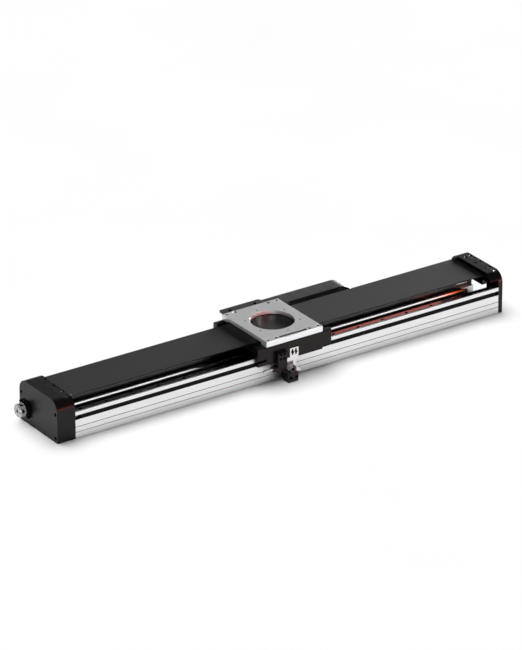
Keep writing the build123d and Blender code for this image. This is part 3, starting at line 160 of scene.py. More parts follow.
def piece(name, points, faces, body=None):
    """A mesh object from points and faces, in metres. Poles are merged, faces turned outwards."""
    mesh = bpy.data.meshes.new(name)
    mesh.from_pydata(np.asarray(points).reshape(-1, 3).tolist(), [], np.asarray(faces).tolist())
    form = bmesh.new()
    form.from_mesh(mesh)
    bmesh.ops.remove_doubles(form, verts=form.verts, dist=MERGE_DISTANCE)
    bmesh.ops.recalc_face_normals(form, faces=form.faces)
    form.to_mesh(mesh)
    form.free()
    made = bpy.data.objects.new(name, mesh)
    bpy.context.scene.collection.objects.link(made)
    mesh.polygons.foreach_set("use_smooth", np.ones(len(mesh.polygons), bool))
    mesh.set_sharp_from_angle(angle=SHARP_ANGLE)
    flat = made.modifiers.new("flat faces stay flat", "WEIGHTED_NORMAL")
    flat.weight, flat.keep_sharp = BY_AREA_ALONE, True
    if body:
        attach(made, body)
    return made


def stacked(grids, **closing):
    """Several grids of one size as one set of points and faces."""
    grids = np.asarray(grids)
    count, rows, columns = grids.shape[:3]
    faces = grid_faces(rows, columns, **closing)
    first = np.arange(count)[:, None, None] * rows * columns
    return grids.reshape(-1, 3), (faces[None] + first).reshape(-1, 4)


# %% [markdown]
# Every finish starts from the same few nodes: a noise in millimetres that breaks up the colour
# and the gloss, a bump of the same noise, and a bevel that rounds the edges where light catches
# them. Worn edges and painted shade in hollows are optional. A hollow is a place where little of
# the open space can be seen from the surface, which the ambient occlusion node measures within a
# set distance, and the painted shade darkens the colour there. A colour is written as a hex value,
# as a paint chart has it, and turned to linear light.

# %% Colours and shader nodes
def linear(hex_code):
    """An sRGB hex colour as linear red, green, blue and alpha."""
    channel = np.array([int(hex_code[k:k + 2], 16) for k in (1, 3, 5)]) / 255
    light = np.where(channel <= 0.04045, channel / 12.92, ((channel + 0.055) / 1.055) ** 2.4)
    return (*light.tolist(), 1.0)


def add(tree, kind, sockets=(), links=(), **settings):
    """One shader node: its settings, the values of its sockets, and what is linked to them."""
    node = tree.nodes.new("ShaderNode" + kind)
    for key, value in settings.items():
        setattr(node, key, value)
    for key, value in dict(sockets).items():
        node.inputs[key].default_value = value
    for key, source in dict(links).items():
        tree.links.new(source, node.inputs[key])
    return node


# %% One finish from a few nodes
NOISE_DETAIL = 4.0
BUMP_STRENGTH = 0.6
EDGE_TURN = (0.995, 0.93)
# The colour and the fade of the painted shade in hollows
PAINTED_SHADE_TONE = "#060606"
PAINTED_SHADE_FADE = 0.3


def surface(name, light, dark, rough, metal=0.0, grain=1.0, stretch=(1, 1, 1), bump=0.02,
            edge=0.3, worn=None, spread=0.06, painted_shade_reach=None, closed=0.45, **shader):
    """A finish: two colours mixed by noise of one grain size, with bump and soft edges, all in mm.

    Worn is the colour of rubbed edges. The shade reach is how far the surface looks for open space,
    and the colour is darkened there, as painted shade, where the open share is under closed. Further
    words go to the shader's sockets.
    """
    material = bpy.data.materials.new(name)
    material.use_nodes = True
    tree = material.node_tree
    tree.nodes.clear()
    place = add(tree, "TexCoord").outputs["Object"]
    scaled = add(tree, "Mapping", {"Scale": stretch}, {"Vector": place}).outputs["Vector"]
    noise = add(tree, "TexNoise", {"Scale": 1 / (grain * MM), "Detail": NOISE_DETAIL},
                {"Vector": scaled})
    tone = add(tree, "MixRGB", {"Color1": linear(dark), "Color2": linear(light)},
               {"Fac": noise.outputs["Fac"]}).outputs["Color"]
    gloss = add(tree, "MapRange", {"To Min": rough - spread, "To Max": rough + spread},
                {"Value": noise.outputs["Fac"]}).outputs["Result"]
    rounded = add(tree, "Bevel", {"Radius": edge * MM}, samples=4).outputs["Normal"]
    relief = add(tree, "Bump", {"Strength": BUMP_STRENGTH, "Distance": bump * MM},
                 {"Height": noise.outputs["Fac"], "Normal": rounded}).outputs["Normal"]
    if worn:
        flat = add(tree, "NewGeometry").outputs["Normal"]
        turned = add(tree, "VectorMath", (), {0: rounded, 1: flat}, operation="DOT_PRODUCT")
        rim = add(tree, "MapRange", {"From Min": EDGE_TURN[0], "From Max": EDGE_TURN[1]},
                  {"Value": turned.outputs["Value"]}).outputs["Result"]
        tone = add(tree, "MixRGB", {"Color2": linear(worn)},
                   {"Fac": rim, "Color1": tone}).outputs["Color"]
    # Painted shade: the colour darkens in hollows where the ambient occlusion node finds little open
    # space
    if painted_shade_reach:
        open_share = add(tree, "AmbientOcclusion", {"Distance": painted_shade_reach * MM}, samples=8).outputs["AO"]
        lit = add(tree, "MapRange", {"From Min": closed - PAINTED_SHADE_FADE, "From Max": closed},
                  {"Value": open_share}).outputs["Result"]
        tone = add(tree, "MixRGB", {"Color1": linear(PAINTED_SHADE_TONE)},
                   {"Fac": lit, "Color2": tone}).outputs["Color"]
    values = {"Metallic": metal, **{key.replace("_", " "): value for key, value in shader.items()}}
    shade = add(tree, "BsdfPrincipled", values,
                {"Base Color": tone, "Roughness": gloss, "Normal": relief})
    add(tree, "OutputMaterial", (), {"Surface": shade.outputs["BSDF"]})
    return material


# %% [markdown]
# The base is drawn through a die, which leaves faint lines along its length, and is then clear
# anodised. The load plate is milled and anodised, so its lines are finer. Both get painted shade
# in their hollows, within 40 mm inside the base and within 12 mm in the plate's holes. The black
# pieces are blasted and dyed black in the same bath: a fine, even grain with a soft sheen, and
# painted shade within 8 mm in their hollows.

# %% Anodised aluminium
def clear_anodised_extrusion():
    # Die lines: 0.9 mm apart across the length and a hundred times longer along it
    # Painted shade darkens its hollows within 40 mm
    return surface("clear anodised extrusion", "#DEDEDE", "#D1D1D2", 0.45, metal=0.85, grain=0.9,
                   stretch=(0.01, 1, 1), bump=0.03, edge=0.35, painted_shade_reach=40.0, closed=0.6)


def milled_anodised_plate():
    # Cutter marks run along the plate, about 0.3 mm apart, drawn at 0.8 mm so that they show
    # Painted shade darkens its holes within 12 mm
    return surface("milled anodised plate", "#E2E2E3", "#D8D8D9", 0.30, metal=0.7, grain=0.8,
                   stretch=(0.04, 1, 1), bump=0.01, edge=0.5, painted_shade_reach=12.0)


def black_anodised():
    # Blast grain of about 0.2 mm, drawn at 0.8 mm so that it shows
    # Painted shade darkens its hollows within 8 mm
    return surface("black anodised aluminium", "#0E0E0F", "#0A0A0B", 0.30, grain=0.8, bump=0.012,
                   edge=0.6, worn="#242322", painted_shade_reach=8.0, IOR=1.31)


def black_cover_sheet():
    # A rolled and dyed sheet: smoother than the blasted blocks
    return surface("black anodised sheet", "#0C0C0D", "#09090A", 0.35, grain=0.8, bump=0.006,
                   edge=0.3, spread=0.03, IOR=1.42)


# %% [markdown]
# The other metals are ground rails, black oxide screws, a satin nickel shell, stainless sheet and
# a white steel tape. Inside lie plated magnets, their yokes and gold contacts. Bare metals keep
# the default IOR and differ in colour, roughness and lines. The oxide is a dull black layer, so
# it reflects very little.

# %% Steels and other metals
def ground_rail_steel():
    # Hardened and ground: fine lines along the rail and a narrow, bright sheen
    return surface("ground rail steel", "#A9ABAD", "#9A9C9E", 0.24, metal=1.0, grain=0.6,
                   stretch=(0.02, 1, 1), bump=0.01, edge=0.3)


def black_oxide_steel():
    # A thin oxide kept in oil: almost black, with hardly a highlight
    return surface("black oxide steel", "#0B0A0A", "#070707", 0.40, grain=0.5, bump=0.01,
                   edge=0.2, IOR=1.15)


def satin_nickel():
    # Plated brass with a brushed, half matt surface
    return surface("satin nickel plating", "#C6C6C8", "#A9A9AC", 0.26, metal=0.6, grain=0.8,
                   bump=0.01, edge=0.3)


def stainless_sheet():
    # Bright rolled sheet with lines along Z, the rolling direction of the bracket blank
    return surface("bright stainless sheet", "#E6E7E8", "#D5D6D8", 0.22, metal=1.0, grain=0.5,
                   stretch=(1, 1, 0.05), bump=0.006, edge=0.2)


def measuring_tape():
    # A steel tape with a matt white scale
    return surface("measuring tape", "#FBFBFB", "#F4F4F4", 0.5, grain=1.0, bump=0.002, edge=0.1)


def nickel_magnet():
    # Nickel over a sintered block: a warm grey that is never quite even
    return surface("nickel plated magnet", "#A8A39A", "#8C877E", 0.25, metal=1.0, grain=3.0, bump=0.01)


def yoke_iron():
    # Dull plated steel, sawn and left as it is
    return surface("plated yoke steel", "#5E5F60", "#4A4B4C", 0.40, metal=1.0, grain=1.2, bump=0.02)


def gold_contact():
    # A thin gold layer on turned pins: smooth, yellow and bright
    return surface("gold plated contact", "#E3B75B", "#C99A3D", 0.20, metal=1.0, grain=1.0, bump=0.005)


# %% [markdown]
# Plastics and rubber reflect little, and what shows is the grain of the mould. The magnets and
# the coils are sealed under a dark brown resin.

# %% Plastics and rubber
def moulded_nylon():
    # Glass filled nylon: mould grain of about 0.5 mm
    return surface("black glass filled nylon", "#121213", "#0D0D0E", 0.37, grain=0.6, bump=0.02,
                   edge=0.2, IOR=1.4)


def smooth_black_plastic():
    # Moulded in a polished tool: smoother than the links, with a clear highlight
    return surface("smooth black plastic", "#141415", "#101011", 0.30, grain=1.0, bump=0.006,
                   edge=0.4, IOR=1.35)


def soft_slot_strip():
    # The strips that close the slots of the base: softer and duller than the moulded links
    return surface("black slot strip", "#090909", "#060606", 0.5, grain=0.8, bump=0.01, IOR=1.2)


def nitrile_seal():
    # Wiping lips of nitrile rubber: matt and even
    return surface("nitrile rubber seal", "#151515", "#0E0E0E", 0.55, grain=0.5, bump=0.02, IOR=1.52)


def cast_polyurethane():
    # Poured and cured in a form: a slightly warm black with round, soft edges
    return surface("black polyurethane", "#141312", "#0E0D0D", 0.38, grain=2.0, bump=0.01,
                   edge=0.8, IOR=1.5)


def potting_resin():
    # Poured resin: dark brown and half glossy, with slow waves in its surface
    return surface("dark potting resin", "#1A0C09", "#0E0504", 0.34, grain=6.0, bump=0.02, IOR=1.3)


def laminated_core():
    # Electrical sheets of 0.5 mm stacked along Y, drawn at 1 mm so that they show
    return surface("laminated core steel", "#54504C", "#3A3734", 0.45, metal=1.0, grain=1.0,
                   stretch=(0.02, 1, 0.02), bump=0.06)


# %% [markdown]
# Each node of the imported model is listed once, under the finish that it has. A few nodes are
# hidden later by finer pieces, which take the same finish.

# %% Which node has which finish
FINISH = {
    clear_anodised_extrusion: ["base_extrusion"],
    milled_anodised_plate: ["top_plate"],
    black_anodised: [
        "left_end_plate", "left_end_housing", "right_end_plate", "right_clamp_bar", "riser_front",
        "riser_back", "rail_stops", "switch_block", "connector_flange", "chain_tray", "carriage_plate",
    ],
    black_cover_sheet: ["top_cover", "chain_bracket"],
    ground_rail_steel: ["guide_rail_front", "guide_rail_back", "guide_blocks"],
    black_oxide_steel: [
        "rail_screws", "cover_screws", "housing_screws", "end_plate_screws", "connector_screws",
        "carriage_screws", "riser_screws", "top_plate_screws", "switch_screws", "tray_screws",
        "chain_bracket_screws", "sensor_screws",
    ],
    satin_nickel: ["connector_shell", "switch_flag"],
    stainless_sheet: ["sensor_bracket"],
    measuring_tape: ["encoder_tape"],
    nickel_magnet: ["magnets"],
    yoke_iron: ["magnet_yokes"],
    gold_contact: ["connector_contacts"],
    soft_slot_strip: ["slot_cover_front", "slot_cover_back"],
    moulded_nylon: [
        "block_end_caps", "chain_upper", "chain_lower", "chain_bend", "chain_moving_end",
        "chain_fixed_end", "connector_insert", "plate_strip",
    ],
    smooth_black_plastic: ["encoder_head", "switch_barrel", "sensor_box"],
    nitrile_seal: ["block_wipers"],
    cast_polyurethane: ["bumpers"],
    potting_resin: ["motor_coils", "magnet_covers"],
    laminated_core: ["motor_core"],
}
MATERIAL = {}
for make, names in FINISH.items():
    MATERIAL[make] = make()
    for name in names:
        NODES[name].data.materials.clear()
        NODES[name].data.materials.append(MATERIAL[make])
unfinished = set(NODES) - {name for names in FINISH.values() for name in names}
print("finishes", len(FINISH), "nodes left without one", sorted(unfinished))


def dressed(made, make, node):
    """Give a piece a finish, and hide the node that it stands for."""
    made.data.materials.append(MATERIAL[make])
    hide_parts(node)
    return made


# %% [markdown]
# A socket cap screw is a turned body with a six-sided hole in its head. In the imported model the
# screws are plain, so each one is made again as a turned grid: rings of points from the shank up
# to the head and down into the hole. The rings in the hole are stretched from a circle to a
# hexagon. Where each screw stands is read from the node itself.

# %% Find the separate solids of a node
def solids_of(node):
    """The vertices of each separate solid: labels spread along the edges until they settle."""
    mesh = NODES[node].data
    points = np.empty(len(mesh.vertices) * 3)
    mesh.vertices.foreach_get("co", points)
    spots, same = np.unique((points.reshape(-1, 3) / MM).round(3), axis=0, return_inverse=True)
    corner = np.empty(len(mesh.loops), int)
    mesh.loops.foreach_get("vertex_index", corner)
    triangles = same.ravel()[corner].reshape(-1, 3)
    label = np.arange(len(spots))
    while True:
        lowest = label[triangles].min(axis=1)
        spread = label.copy()
        np.minimum.at(spread, triangles.ravel(), np.repeat(lowest, 3))
        spread = spread[spread]
        if (spread == label).all():
            break
        label = spread
    return [spots[label == k] * MM for k in np.unique(label)]


# %% Screws
SCREW_SIDES = 24
TURN = np.arange(SCREW_SIDES) * 2 * np.pi / SCREW_SIDES
HEX = np.cos(np.pi / 6) / np.cos(TURN % (np.pi / 3) - np.pi / 6)
RIM_SHARE = 0.97
AT_TIP = 0.01 * MM


def screw_grid(head_r, head_h, shank_r, length):
    """Rings round Z with the seat at zero: height, radius, and 1 where the ring is a hexagon."""
    rim, key, depth = 0.12 * head_r, 0.48 * head_r, 0.55 * head_h
    chamfer, lead, cone = 0.15 * shank_r, 0.08 * head_r, 0.1 * head_r
    rings = np.array([
        (-length, 0, 0), (-length, shank_r - chamfer, 0), (-length + chamfer, shank_r, 0),
        (0, shank_r, 0), (0, head_r, 0), (head_h - rim, head_r, 0),
        (head_h - 0.3 * rim, head_r - 0.3 * rim, 0), (head_h, head_r - rim, 0),
        (head_h, key + cone, 0), (head_h - lead, key, 1), (head_h - depth, key, 1),
        (head_h - depth - cone, 0, 0),
    ])
    height, radius, six = rings.T[:, :, None]
    reach = radius * np.where(six > 0, HEX, 1.0)
    return np.stack([reach * np.cos(TURN), reach * np.sin(TURN),
                     np.broadcast_to(height, reach.shape)], axis=-1)


# %% Fit a screw to a solid
def screw_like(spots):
    """A screw that fills one solid. The two like sides lie across its axis, the head is wider."""
    low, high = spots.min(axis=0), spots.max(axis=0)
    size = high - low
    middle = (low + high) / 2
    pairs = [(abs(size[a] - size[b]), 3 - a - b) for a in range(3) for b in range(a)]
    axis = min(pairs)[1]
    sides = [k for k in range(3) if k != axis]
    off = np.hypot(*(spots[:, sides] - middle[sides]).T)
    along = spots[:, axis]
    head_r = off.max()
    way = 1 if off[along > middle[axis]].max() >= off[along < middle[axis]].max() else -1
    wide = along[off >= RIM_SHARE * head_r]
    head_h = wide.max() - wide.min()
    tip = low[axis] if way > 0 else high[axis]
    shank_r = off[abs(along - tip) < AT_TIP].max()
    grid = screw_grid(head_r, head_h, shank_r, size[axis] - head_h)
    seat = (high[axis] - head_h) if way > 0 else (low[axis] + head_h)
    out = np.empty_like(grid)
    out[..., axis] = seat + way * grid[..., 2]
    out[..., sides] = middle[sides] + grid[..., :2]
    return out


# %% Make the screws
count = 0
for node in FINISH[black_oxide_steel]:
    if node == "cover_screws":
        # Grub screws have no head, and these already have their key holes
        continue
    grids = [screw_like(spots) for spots in solids_of(node)]
    made = piece("fine_" + node, *stacked(grids, close_columns=True), body=NODES[node]["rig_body"])
    dressed(made, black_oxide_steel, node)
    count += len(grids)
print("screws made", count)


# %% [markdown]
# The cover is a thin sheet with rolled edges. Its section is a flat rounded bar, carried along
# the travel, and the roll at each edge gives the thin bright line that a sawn edge would not.

# %% Cover sheet
def rounded_section(width, height, radius, steps=6):
    """A rectangle with round corners: four quarter circles joined, as points (across, up)."""
    quarter = np.linspace(0, np.pi / 2, steps)
    turn = (quarter[None] + np.arange(4)[:, None] * np.pi / 2).ravel()
    side = np.repeat([(1, 1), (-1, 1), (-1, -1), (1, -1)], steps, axis=0)
    centre = side * (np.array([width, height]) / 2 - radius)
    return centre + radius * np.stack([np.cos(turn), np.sin(turn)], axis=1)


def carried(section, x0, x1, y, z):
    """A section carried along X from x0 to x1 about (y, z), each end closed by a ring of no size."""
    rings = [np.column_stack([np.full(len(section), x), y + scale * section[:, 0],
                              z + scale * section[:, 1]])
             for x, scale in ((x0, 0), (x0, 1), (x1, 1), (x1, 0))]
    return stacked([np.array(rings)], close_columns=True)


# %% Make the cover
COVER_ROLL = 0.9 * MM
low, high = corners("top_cover")
section = rounded_section(high[1] - low[1], high[2] - low[2], COVER_ROLL)
cover = piece("cover_sheet", *carried(section, low[0], high[0], *(low + high)[1:] / 2), body="base")
dressed(cover, black_cover_sheet, "top_cover")
print("cover", ((high - low) / MM).round(1), "mm")

# %% [markdown]
# Each side of the base has two fine grooves along its length. A thin strip of painted light lies
# in each: the upper one dark, painted shade in the groove, and the lower one red, a painted
# reflection of a red lamp.

# %% Lines in the grooves
def painted_groove_reflection():
    # Painted reflection: a dull red strip that stands for a red lamp's glint in the groove
    return surface("painted red groove reflection", "#A3453C", "#8E3A33", 0.5, grain=2.0, bump=0.0, edge=0.1)


GROOVE_W, CLEARANCE = 1.2 * MM, 0.04 * MM
PAINTED_LINE_THICK, PAINTED_LINE_ROLL, PAINTED_LINE_SUNK = 0.5 * MM, 0.1 * MM, 0.35 * MM
RED_HEIGHT, DARK_HEIGHT = 13.4 * MM, 24.6 * MM
# The dark strip is painted shade in the upper groove, the red one a painted reflection in the lower
PAINTED_GROOVE_LIGHT = [("red", RED_HEIGHT, painted_groove_reflection()), ("dark", DARK_HEIGHT, MATERIAL[black_anodised])]
low, high = corners("base_extrusion")
section = rounded_section(PAINTED_LINE_THICK, GROOVE_W - CLEARANCE, PAINTED_LINE_ROLL, steps=3)
for name, height, finish in PAINTED_GROOVE_LIGHT:
    for side, y in (("front", low[1] + PAINTED_LINE_SUNK), ("back", high[1] - PAINTED_LINE_SUNK)):
        made = piece(f"groove_line_{name}_{side}", *carried(section, low[0], high[0], y, height),
                     body="base")
        made.data.materials.append(finish)
print("groove lines", 2 * len(PAINTED_GROOVE_LIGHT))

# %% [markdown]
# The cable carrier is a row of plastic links. Each one is a tube with a snap-on bar across its
# top and its bottom, and a round boss on each side where it turns on its neighbour. The half turn
# uses the same link, wrapped round the bend's centre: the height over the centre becomes a radius
# and the length becomes an angle.

# %% Cable carrier links
def joined(*sets):
    """Several sets of points and faces as one."""
    points, faces, first = [], [], 0
    for some_points, some_faces in sets:
        some_points = np.asarray(some_points).reshape(-1, 3)
        points.append(some_points)
        faces.append(np.asarray(some_faces) + first)
        first += len(some_points)
    return np.concatenate(points), np.concatenate(faces)


LINK_WALL = 2.0 * MM
OUTER_ROUND, LIP_ROUND, INNER_ROUND = 2.2 * MM, 2.0 * MM, 1.0 * MM
LIP_SOFT = 0.15 * MM
LINK_ROWS = 6


def tube_link(x0, x1, middle, width, height):
    """A closed tube: the outer section from one end to the other, then the inner section back."""
    outer = rounded_section(width, height, OUTER_ROUND, steps=4)
    lip = rounded_section(width - 2 * LIP_SOFT, height - 2 * LIP_SOFT, LIP_ROUND, steps=4)
    inner = rounded_section(width - 2 * LINK_WALL, height - 2 * LINK_WALL, INNER_ROUND, steps=4)
    inside = np.linspace(x0 + LIP_SOFT, x1 - LIP_SOFT, LINK_ROWS)
    rows = [(x0, lip), *((x, outer) for x in inside), (x1, lip), *((x, inner) for x in inside[::-1])]
    grid = np.array([np.column_stack([np.full(len(ring), x), ring + middle]) for x, ring in rows])
    return grid.reshape(-1, 3), grid_faces(*grid.shape[:2], close_rows=True, close_columns=True)


# %% Snap-on bars and bosses
BAR_ROUND, BAR_SOFT = 1.5 * MM, 0.3 * MM


def slab(x0, x1, y0, y1, z0, z1):
    """A flat bar with soft upper edges: a rounded outline at rising heights, closed at both ends."""
    outline = rounded_section(x1 - x0, y1 - y0, BAR_ROUND)
    sizes = [0.0, 1.0, 1.0, 1 - 2 * BAR_SOFT / min(x1 - x0, y1 - y0), 0.0]
    levels = [z0, z0, z1 - BAR_SOFT, z1, z1]
    centre = np.array([(x0 + x1) / 2, (y0 + y1) / 2])
    grid = np.array([np.column_stack([centre + k * outline, np.full(len(outline), z)])
                     for k, z in zip(sizes, levels)])
    return grid.reshape(-1, 3), grid_faces(*grid.shape[:2], close_columns=True)


BOSS_SIDES = 20
BOSS_RINGS = [(0, 1.0), (0.8, 1.0), (1.0, 0.9), (1.0, 0.45), (0.4, 0.4), (0.4, 0.0)]


def boss(x, y, z, radius, way, proud):
    """A round boss on a side wall, with a dimple: each ring has its share of height and radius."""
    turn = np.arange(BOSS_SIDES) * 2 * np.pi / BOSS_SIDES
    grid = np.array([np.column_stack([x + radius * share * np.cos(turn),
                                      np.full(BOSS_SIDES, y + way * proud * up),
                                      z + radius * share * np.sin(turn)]) for up, share in BOSS_RINGS])
    return grid.reshape(-1, 3), grid_faces(*grid.shape[:2], close_columns=True)


# %% One whole link
PROUD, SUNK, BOSS_SUNK = 0.1 * MM, 0.1 * MM, 0.05 * MM
BAR_START, BAR_END, BAR_INSET = 0.28, 0.72, 4 * MM
BOSS_SHARE = 0.3


def link(x0, x1, low_z, high_z, y0, y1):
    """One link between two places along X: tube, two snap-on bars and two bosses."""
    span, middle = x1 - x0, np.array([(y0 + y1) / 2, (low_z + high_z) / 2])
    bar = (x0 + BAR_START * span, x0 + BAR_END * span, y0 + BAR_INSET, y1 - BAR_INSET)
    top = slab(*bar, high_z - SUNK, high_z + PROUD)
    foot_points, foot_faces = slab(*bar, -low_z - SUNK, -low_z + PROUD)
    foot = foot_points * (1, 1, -1), foot_faces
    sides = [boss((x0 + x1) / 2, y, middle[1], BOSS_SHARE * (high_z - low_z), way, PROUD)
             for y, way in ((y0 + BOSS_SUNK, -1), (y1 - BOSS_SUNK, 1))]
    return joined(tube_link(x0, x1, middle, y1 - y0, high_z - low_z), top, foot, *sides)

# %% [markdown]
# A real carrier rolls. Its lower run lies still, its upper run moves with the carriage, and the
# half turn between them moves at half the carriage's speed. Here no link passes through the turn,
# and the links of the two runs stay where they are made.

# %% Fix a link where it stands
def follow(made):
    """Bake a piece's place into its mesh."""
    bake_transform(made)


# %% The two runs and the bend
bend_low, bend_high = corners("chain_bend")
bend_z = (bend_low[2] + bend_high[2]) / 2
RUNS = [("chain_upper", "carriage", 1.0, 0.5), ("chain_lower", "bend", 0.0, 1.0)]
for run, other, share0, share1 in RUNS:
    low, high = corners(run)
    ends = sorted((spots[:, 0].min(), spots[:, 0].max()) for spots in solids_of(run))
    meets = [(before[1] + after[0]) / 2 for before, after in zip(ends, ends[1:])]
    ends = list(zip([ends[0][0], *meets], [*meets, ends[-1][1]]))
    for k, (x0, x1) in enumerate(ends):
        made = piece(f"{run}_link_{k + 1}", *link(x0, x1, low[2], high[2], low[1], high[1]))
        dressed(made, moulded_nylon, run)
        follow(made)
    print(run, "links", len(ends))

BEND_LINKS = len(solids_of("chain_bend"))
link_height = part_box("chain_upper")[1][2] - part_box("chain_upper")[0][2]
bend_radius = (bend_high[2] - bend_low[2]) / 2
step = math.pi / BEND_LINKS
LINK_GAP = 0.1 * MM
points, faces = link(LINK_GAP / 2, step * bend_radius - LINK_GAP / 2, bend_radius - link_height,
                     bend_radius, bend_low[1], bend_high[1])
wraps = []
for k in range(BEND_LINKS):
    angle = points[:, 0] / bend_radius + k * step
    wraps.append((np.column_stack([bend_low[0] + points[:, 2] * np.sin(angle), points[:, 1],
                                   bend_z + points[:, 2] * np.cos(angle)]), faces))
made = piece("chain_bend_links", *joined(*wraps), body="bend")
dressed(made, moulded_nylon, "chain_bend")
print("chain_bend links", BEND_LINKS)

# %% [markdown]
# The power connector is the brightest small thing in the photograph. Its plated shell is a cage: a
# ring at the flange, six claws, a front ring, and five sectors on its face. The black insert shows
# in the gaps. Each part is a bar with a rounded section, bent round the connector's axis over a
# small angle or a full turn.

# %% Connector shell
FULL_TURN = 2 * math.pi
CAGE_ROUND = 0.4 * MM
RING_WALL = 3.0 * MM
CLAWS, CLAW_HALF, CLAW_SHIFT = 6, math.radians(15), 0.3
CLAW_INNER, CLAW_OUTER, CLAW_LAP = 2.6 * MM, 0.2 * MM, 1.0 * MM
SECTORS, GAP_HALF, SECTOR_SHIFT = 5, math.radians(5), 0.6
SECTOR_DEEP, SECTOR_HOLE, SECTOR_INSET = 2.4 * MM, 3.5 * MM, 1.6 * MM
CAP_START, CAP_END, FLANGE_RING = 1.2 * MM, 3.6 * MM, 1.8 * MM


def bent_bar(x0, x1, inner, outer, middle, start=0.0, sweep=FULL_TURN, steps=72):
    """A rounded bar, x0 to x1 by inner to outer radius, bent round the axis, its ends closed."""
    section = rounded_section(x1 - x0, outer - inner, CAGE_ROUND, steps=4)
    angle = start + sweep * np.concatenate([[0], np.linspace(0, 1, steps), [1]])[:, None]
    size = np.concatenate([[0], np.ones(steps), [0]])[:, None]
    radius = (inner + outer) / 2 + size * section[:, 1]
    grid = np.stack([(x0 + x1) / 2 + size * section[:, 0], middle[0] + radius * np.cos(angle),
                     middle[1] + radius * np.sin(angle)], axis=-1)
    return grid.reshape(-1, 3), grid_faces(*grid.shape[:2], close_columns=True)


# %% Put the cage together
low, high = corners("connector_shell")
shell_r = (high[2] - low[2]) / 2
middle = (low[1:] + high[1:]) / 2
cap_x, ring_x = low[0] + CAP_END, high[0] - FLANGE_RING
flange_ring = bent_bar(ring_x, high[0], shell_r - RING_WALL, shell_r, middle)
claws = [bent_bar(cap_x - CLAW_LAP, ring_x + CLAW_LAP, shell_r - CLAW_INNER, shell_r - CLAW_OUTER,
                  middle, start=FULL_TURN * (k + CLAW_SHIFT) / CLAWS - CLAW_HALF,
                  sweep=2 * CLAW_HALF, steps=10) for k in range(CLAWS)]
front_ring = bent_bar(low[0] + CAP_START, cap_x, shell_r - RING_WALL, shell_r, middle)
sectors = [bent_bar(low[0], low[0] + SECTOR_DEEP, SECTOR_HOLE, shell_r - SECTOR_INSET, middle,
                    start=FULL_TURN * (k + SECTOR_SHIFT) / SECTORS,
                    sweep=FULL_TURN / SECTORS - 2 * GAP_HALF, steps=24) for k in range(SECTORS)]
made = piece("connector_cage", *joined(flange_ring, *claws, front_ring, *sectors), body="base")
dressed(made, satin_nickel, "connector_shell")
print("connector shell parts", 2 + CLAWS + SECTORS)

# %% [markdown]
# The bumpers and the round sensor are turned shapes: a profile swept round the X axis. The bumper
# has a crowned nose and a shallow waist, and the sensor has fine thread ridges on its barrel.

# %% Turned pieces along X
TURNED_SIDES = 36
BUMPER_RIM, STEM_SHARE = 0.95, 0.4
WAIST, NOSE_START, NOSE_FALL = 0.06, 0.75, 0.75
RIDGES, RIDGE_DEEP, BARREL_STEP, FACE_INSET = 8, 0.25 * MM, 0.4 * MM, 1.2 * MM


def turned_x(profile, centre):
    """Rings about X: each row of the profile gives a place along X and a radius."""
    turn = np.arange(TURNED_SIDES) * 2 * np.pi / TURNED_SIDES
    x, r = np.asarray(profile).T[:, :, None]
    return np.stack([np.broadcast_to(x, (len(x), TURNED_SIDES)), centre[0] + r * np.cos(turn),
                     centre[1] + r * np.sin(turn)], axis=-1)


# %% Bumpers
bumper_grids = []
for spots in solids_of("bumpers"):
    low, high = spots.min(axis=0), spots.max(axis=0)
    head_r = (high[2] - low[2]) / 2
    off = np.hypot(*(spots - (low + high) / 2)[:, 1:].T)
    wide = spots[off > BUMPER_RIM * head_r, 0]
    # The head is the wide end, and its nose points away from the stem
    back_x, tip_x, stem_x = wide.max(), low[0], high[0]
    if wide.min() + wide.max() > low[0] + high[0]:
        back_x, tip_x, stem_x = wide.min(), high[0], low[0]
    u = np.linspace(0, 1, 24)
    nose = np.clip((u - NOSE_START) / (1 - NOSE_START), 0, 1)
    radius = head_r * (1 - WAIST * np.sin(np.pi * u) ** 2) * np.sqrt(1 - NOSE_FALL * nose ** 2)
    profile = [(stem_x, 0), (stem_x, STEM_SHARE * head_r), (back_x, STEM_SHARE * head_r),
               *zip(back_x + (tip_x - back_x) * u, radius), (tip_x, 0)]
    bumper_grids.append(turned_x(profile, (low + high)[1:] / 2))
made = piece("soft_bumpers", *stacked(bumper_grids, close_columns=True), body="base")
dressed(made, cast_polyurethane, "bumpers")
print("bumpers", len(bumper_grids))

# %% Sensor barrel
low, high = corners("switch_barrel")
barrel_r = (high[2] - low[2]) / 2
u = np.linspace(0, 1, 49)
ridge = RIDGE_DEEP * (1 - np.cos(2 * np.pi * RIDGES * u)) / 2
start_x = low[0] + BARREL_STEP
profile = [(low[0], 0), (low[0], barrel_r - FACE_INSET),
           *zip(start_x + (high[0] - start_x) * u, barrel_r - ridge), (high[0], 0)]
grid = turned_x(profile, (low + high)[1:] / 2)
made = piece("sensor_barrel", *stacked([grid], close_columns=True), body="carriage")
dressed(made, smooth_black_plastic, "switch_barrel")
print("sensor barrel ridges", RIDGES)

# %% [markdown]
# The photograph has a white ground and a light source high behind the part. So the floor is
# almost white, a weak white sky shows in the metal, and the strongest lamp stands behind.

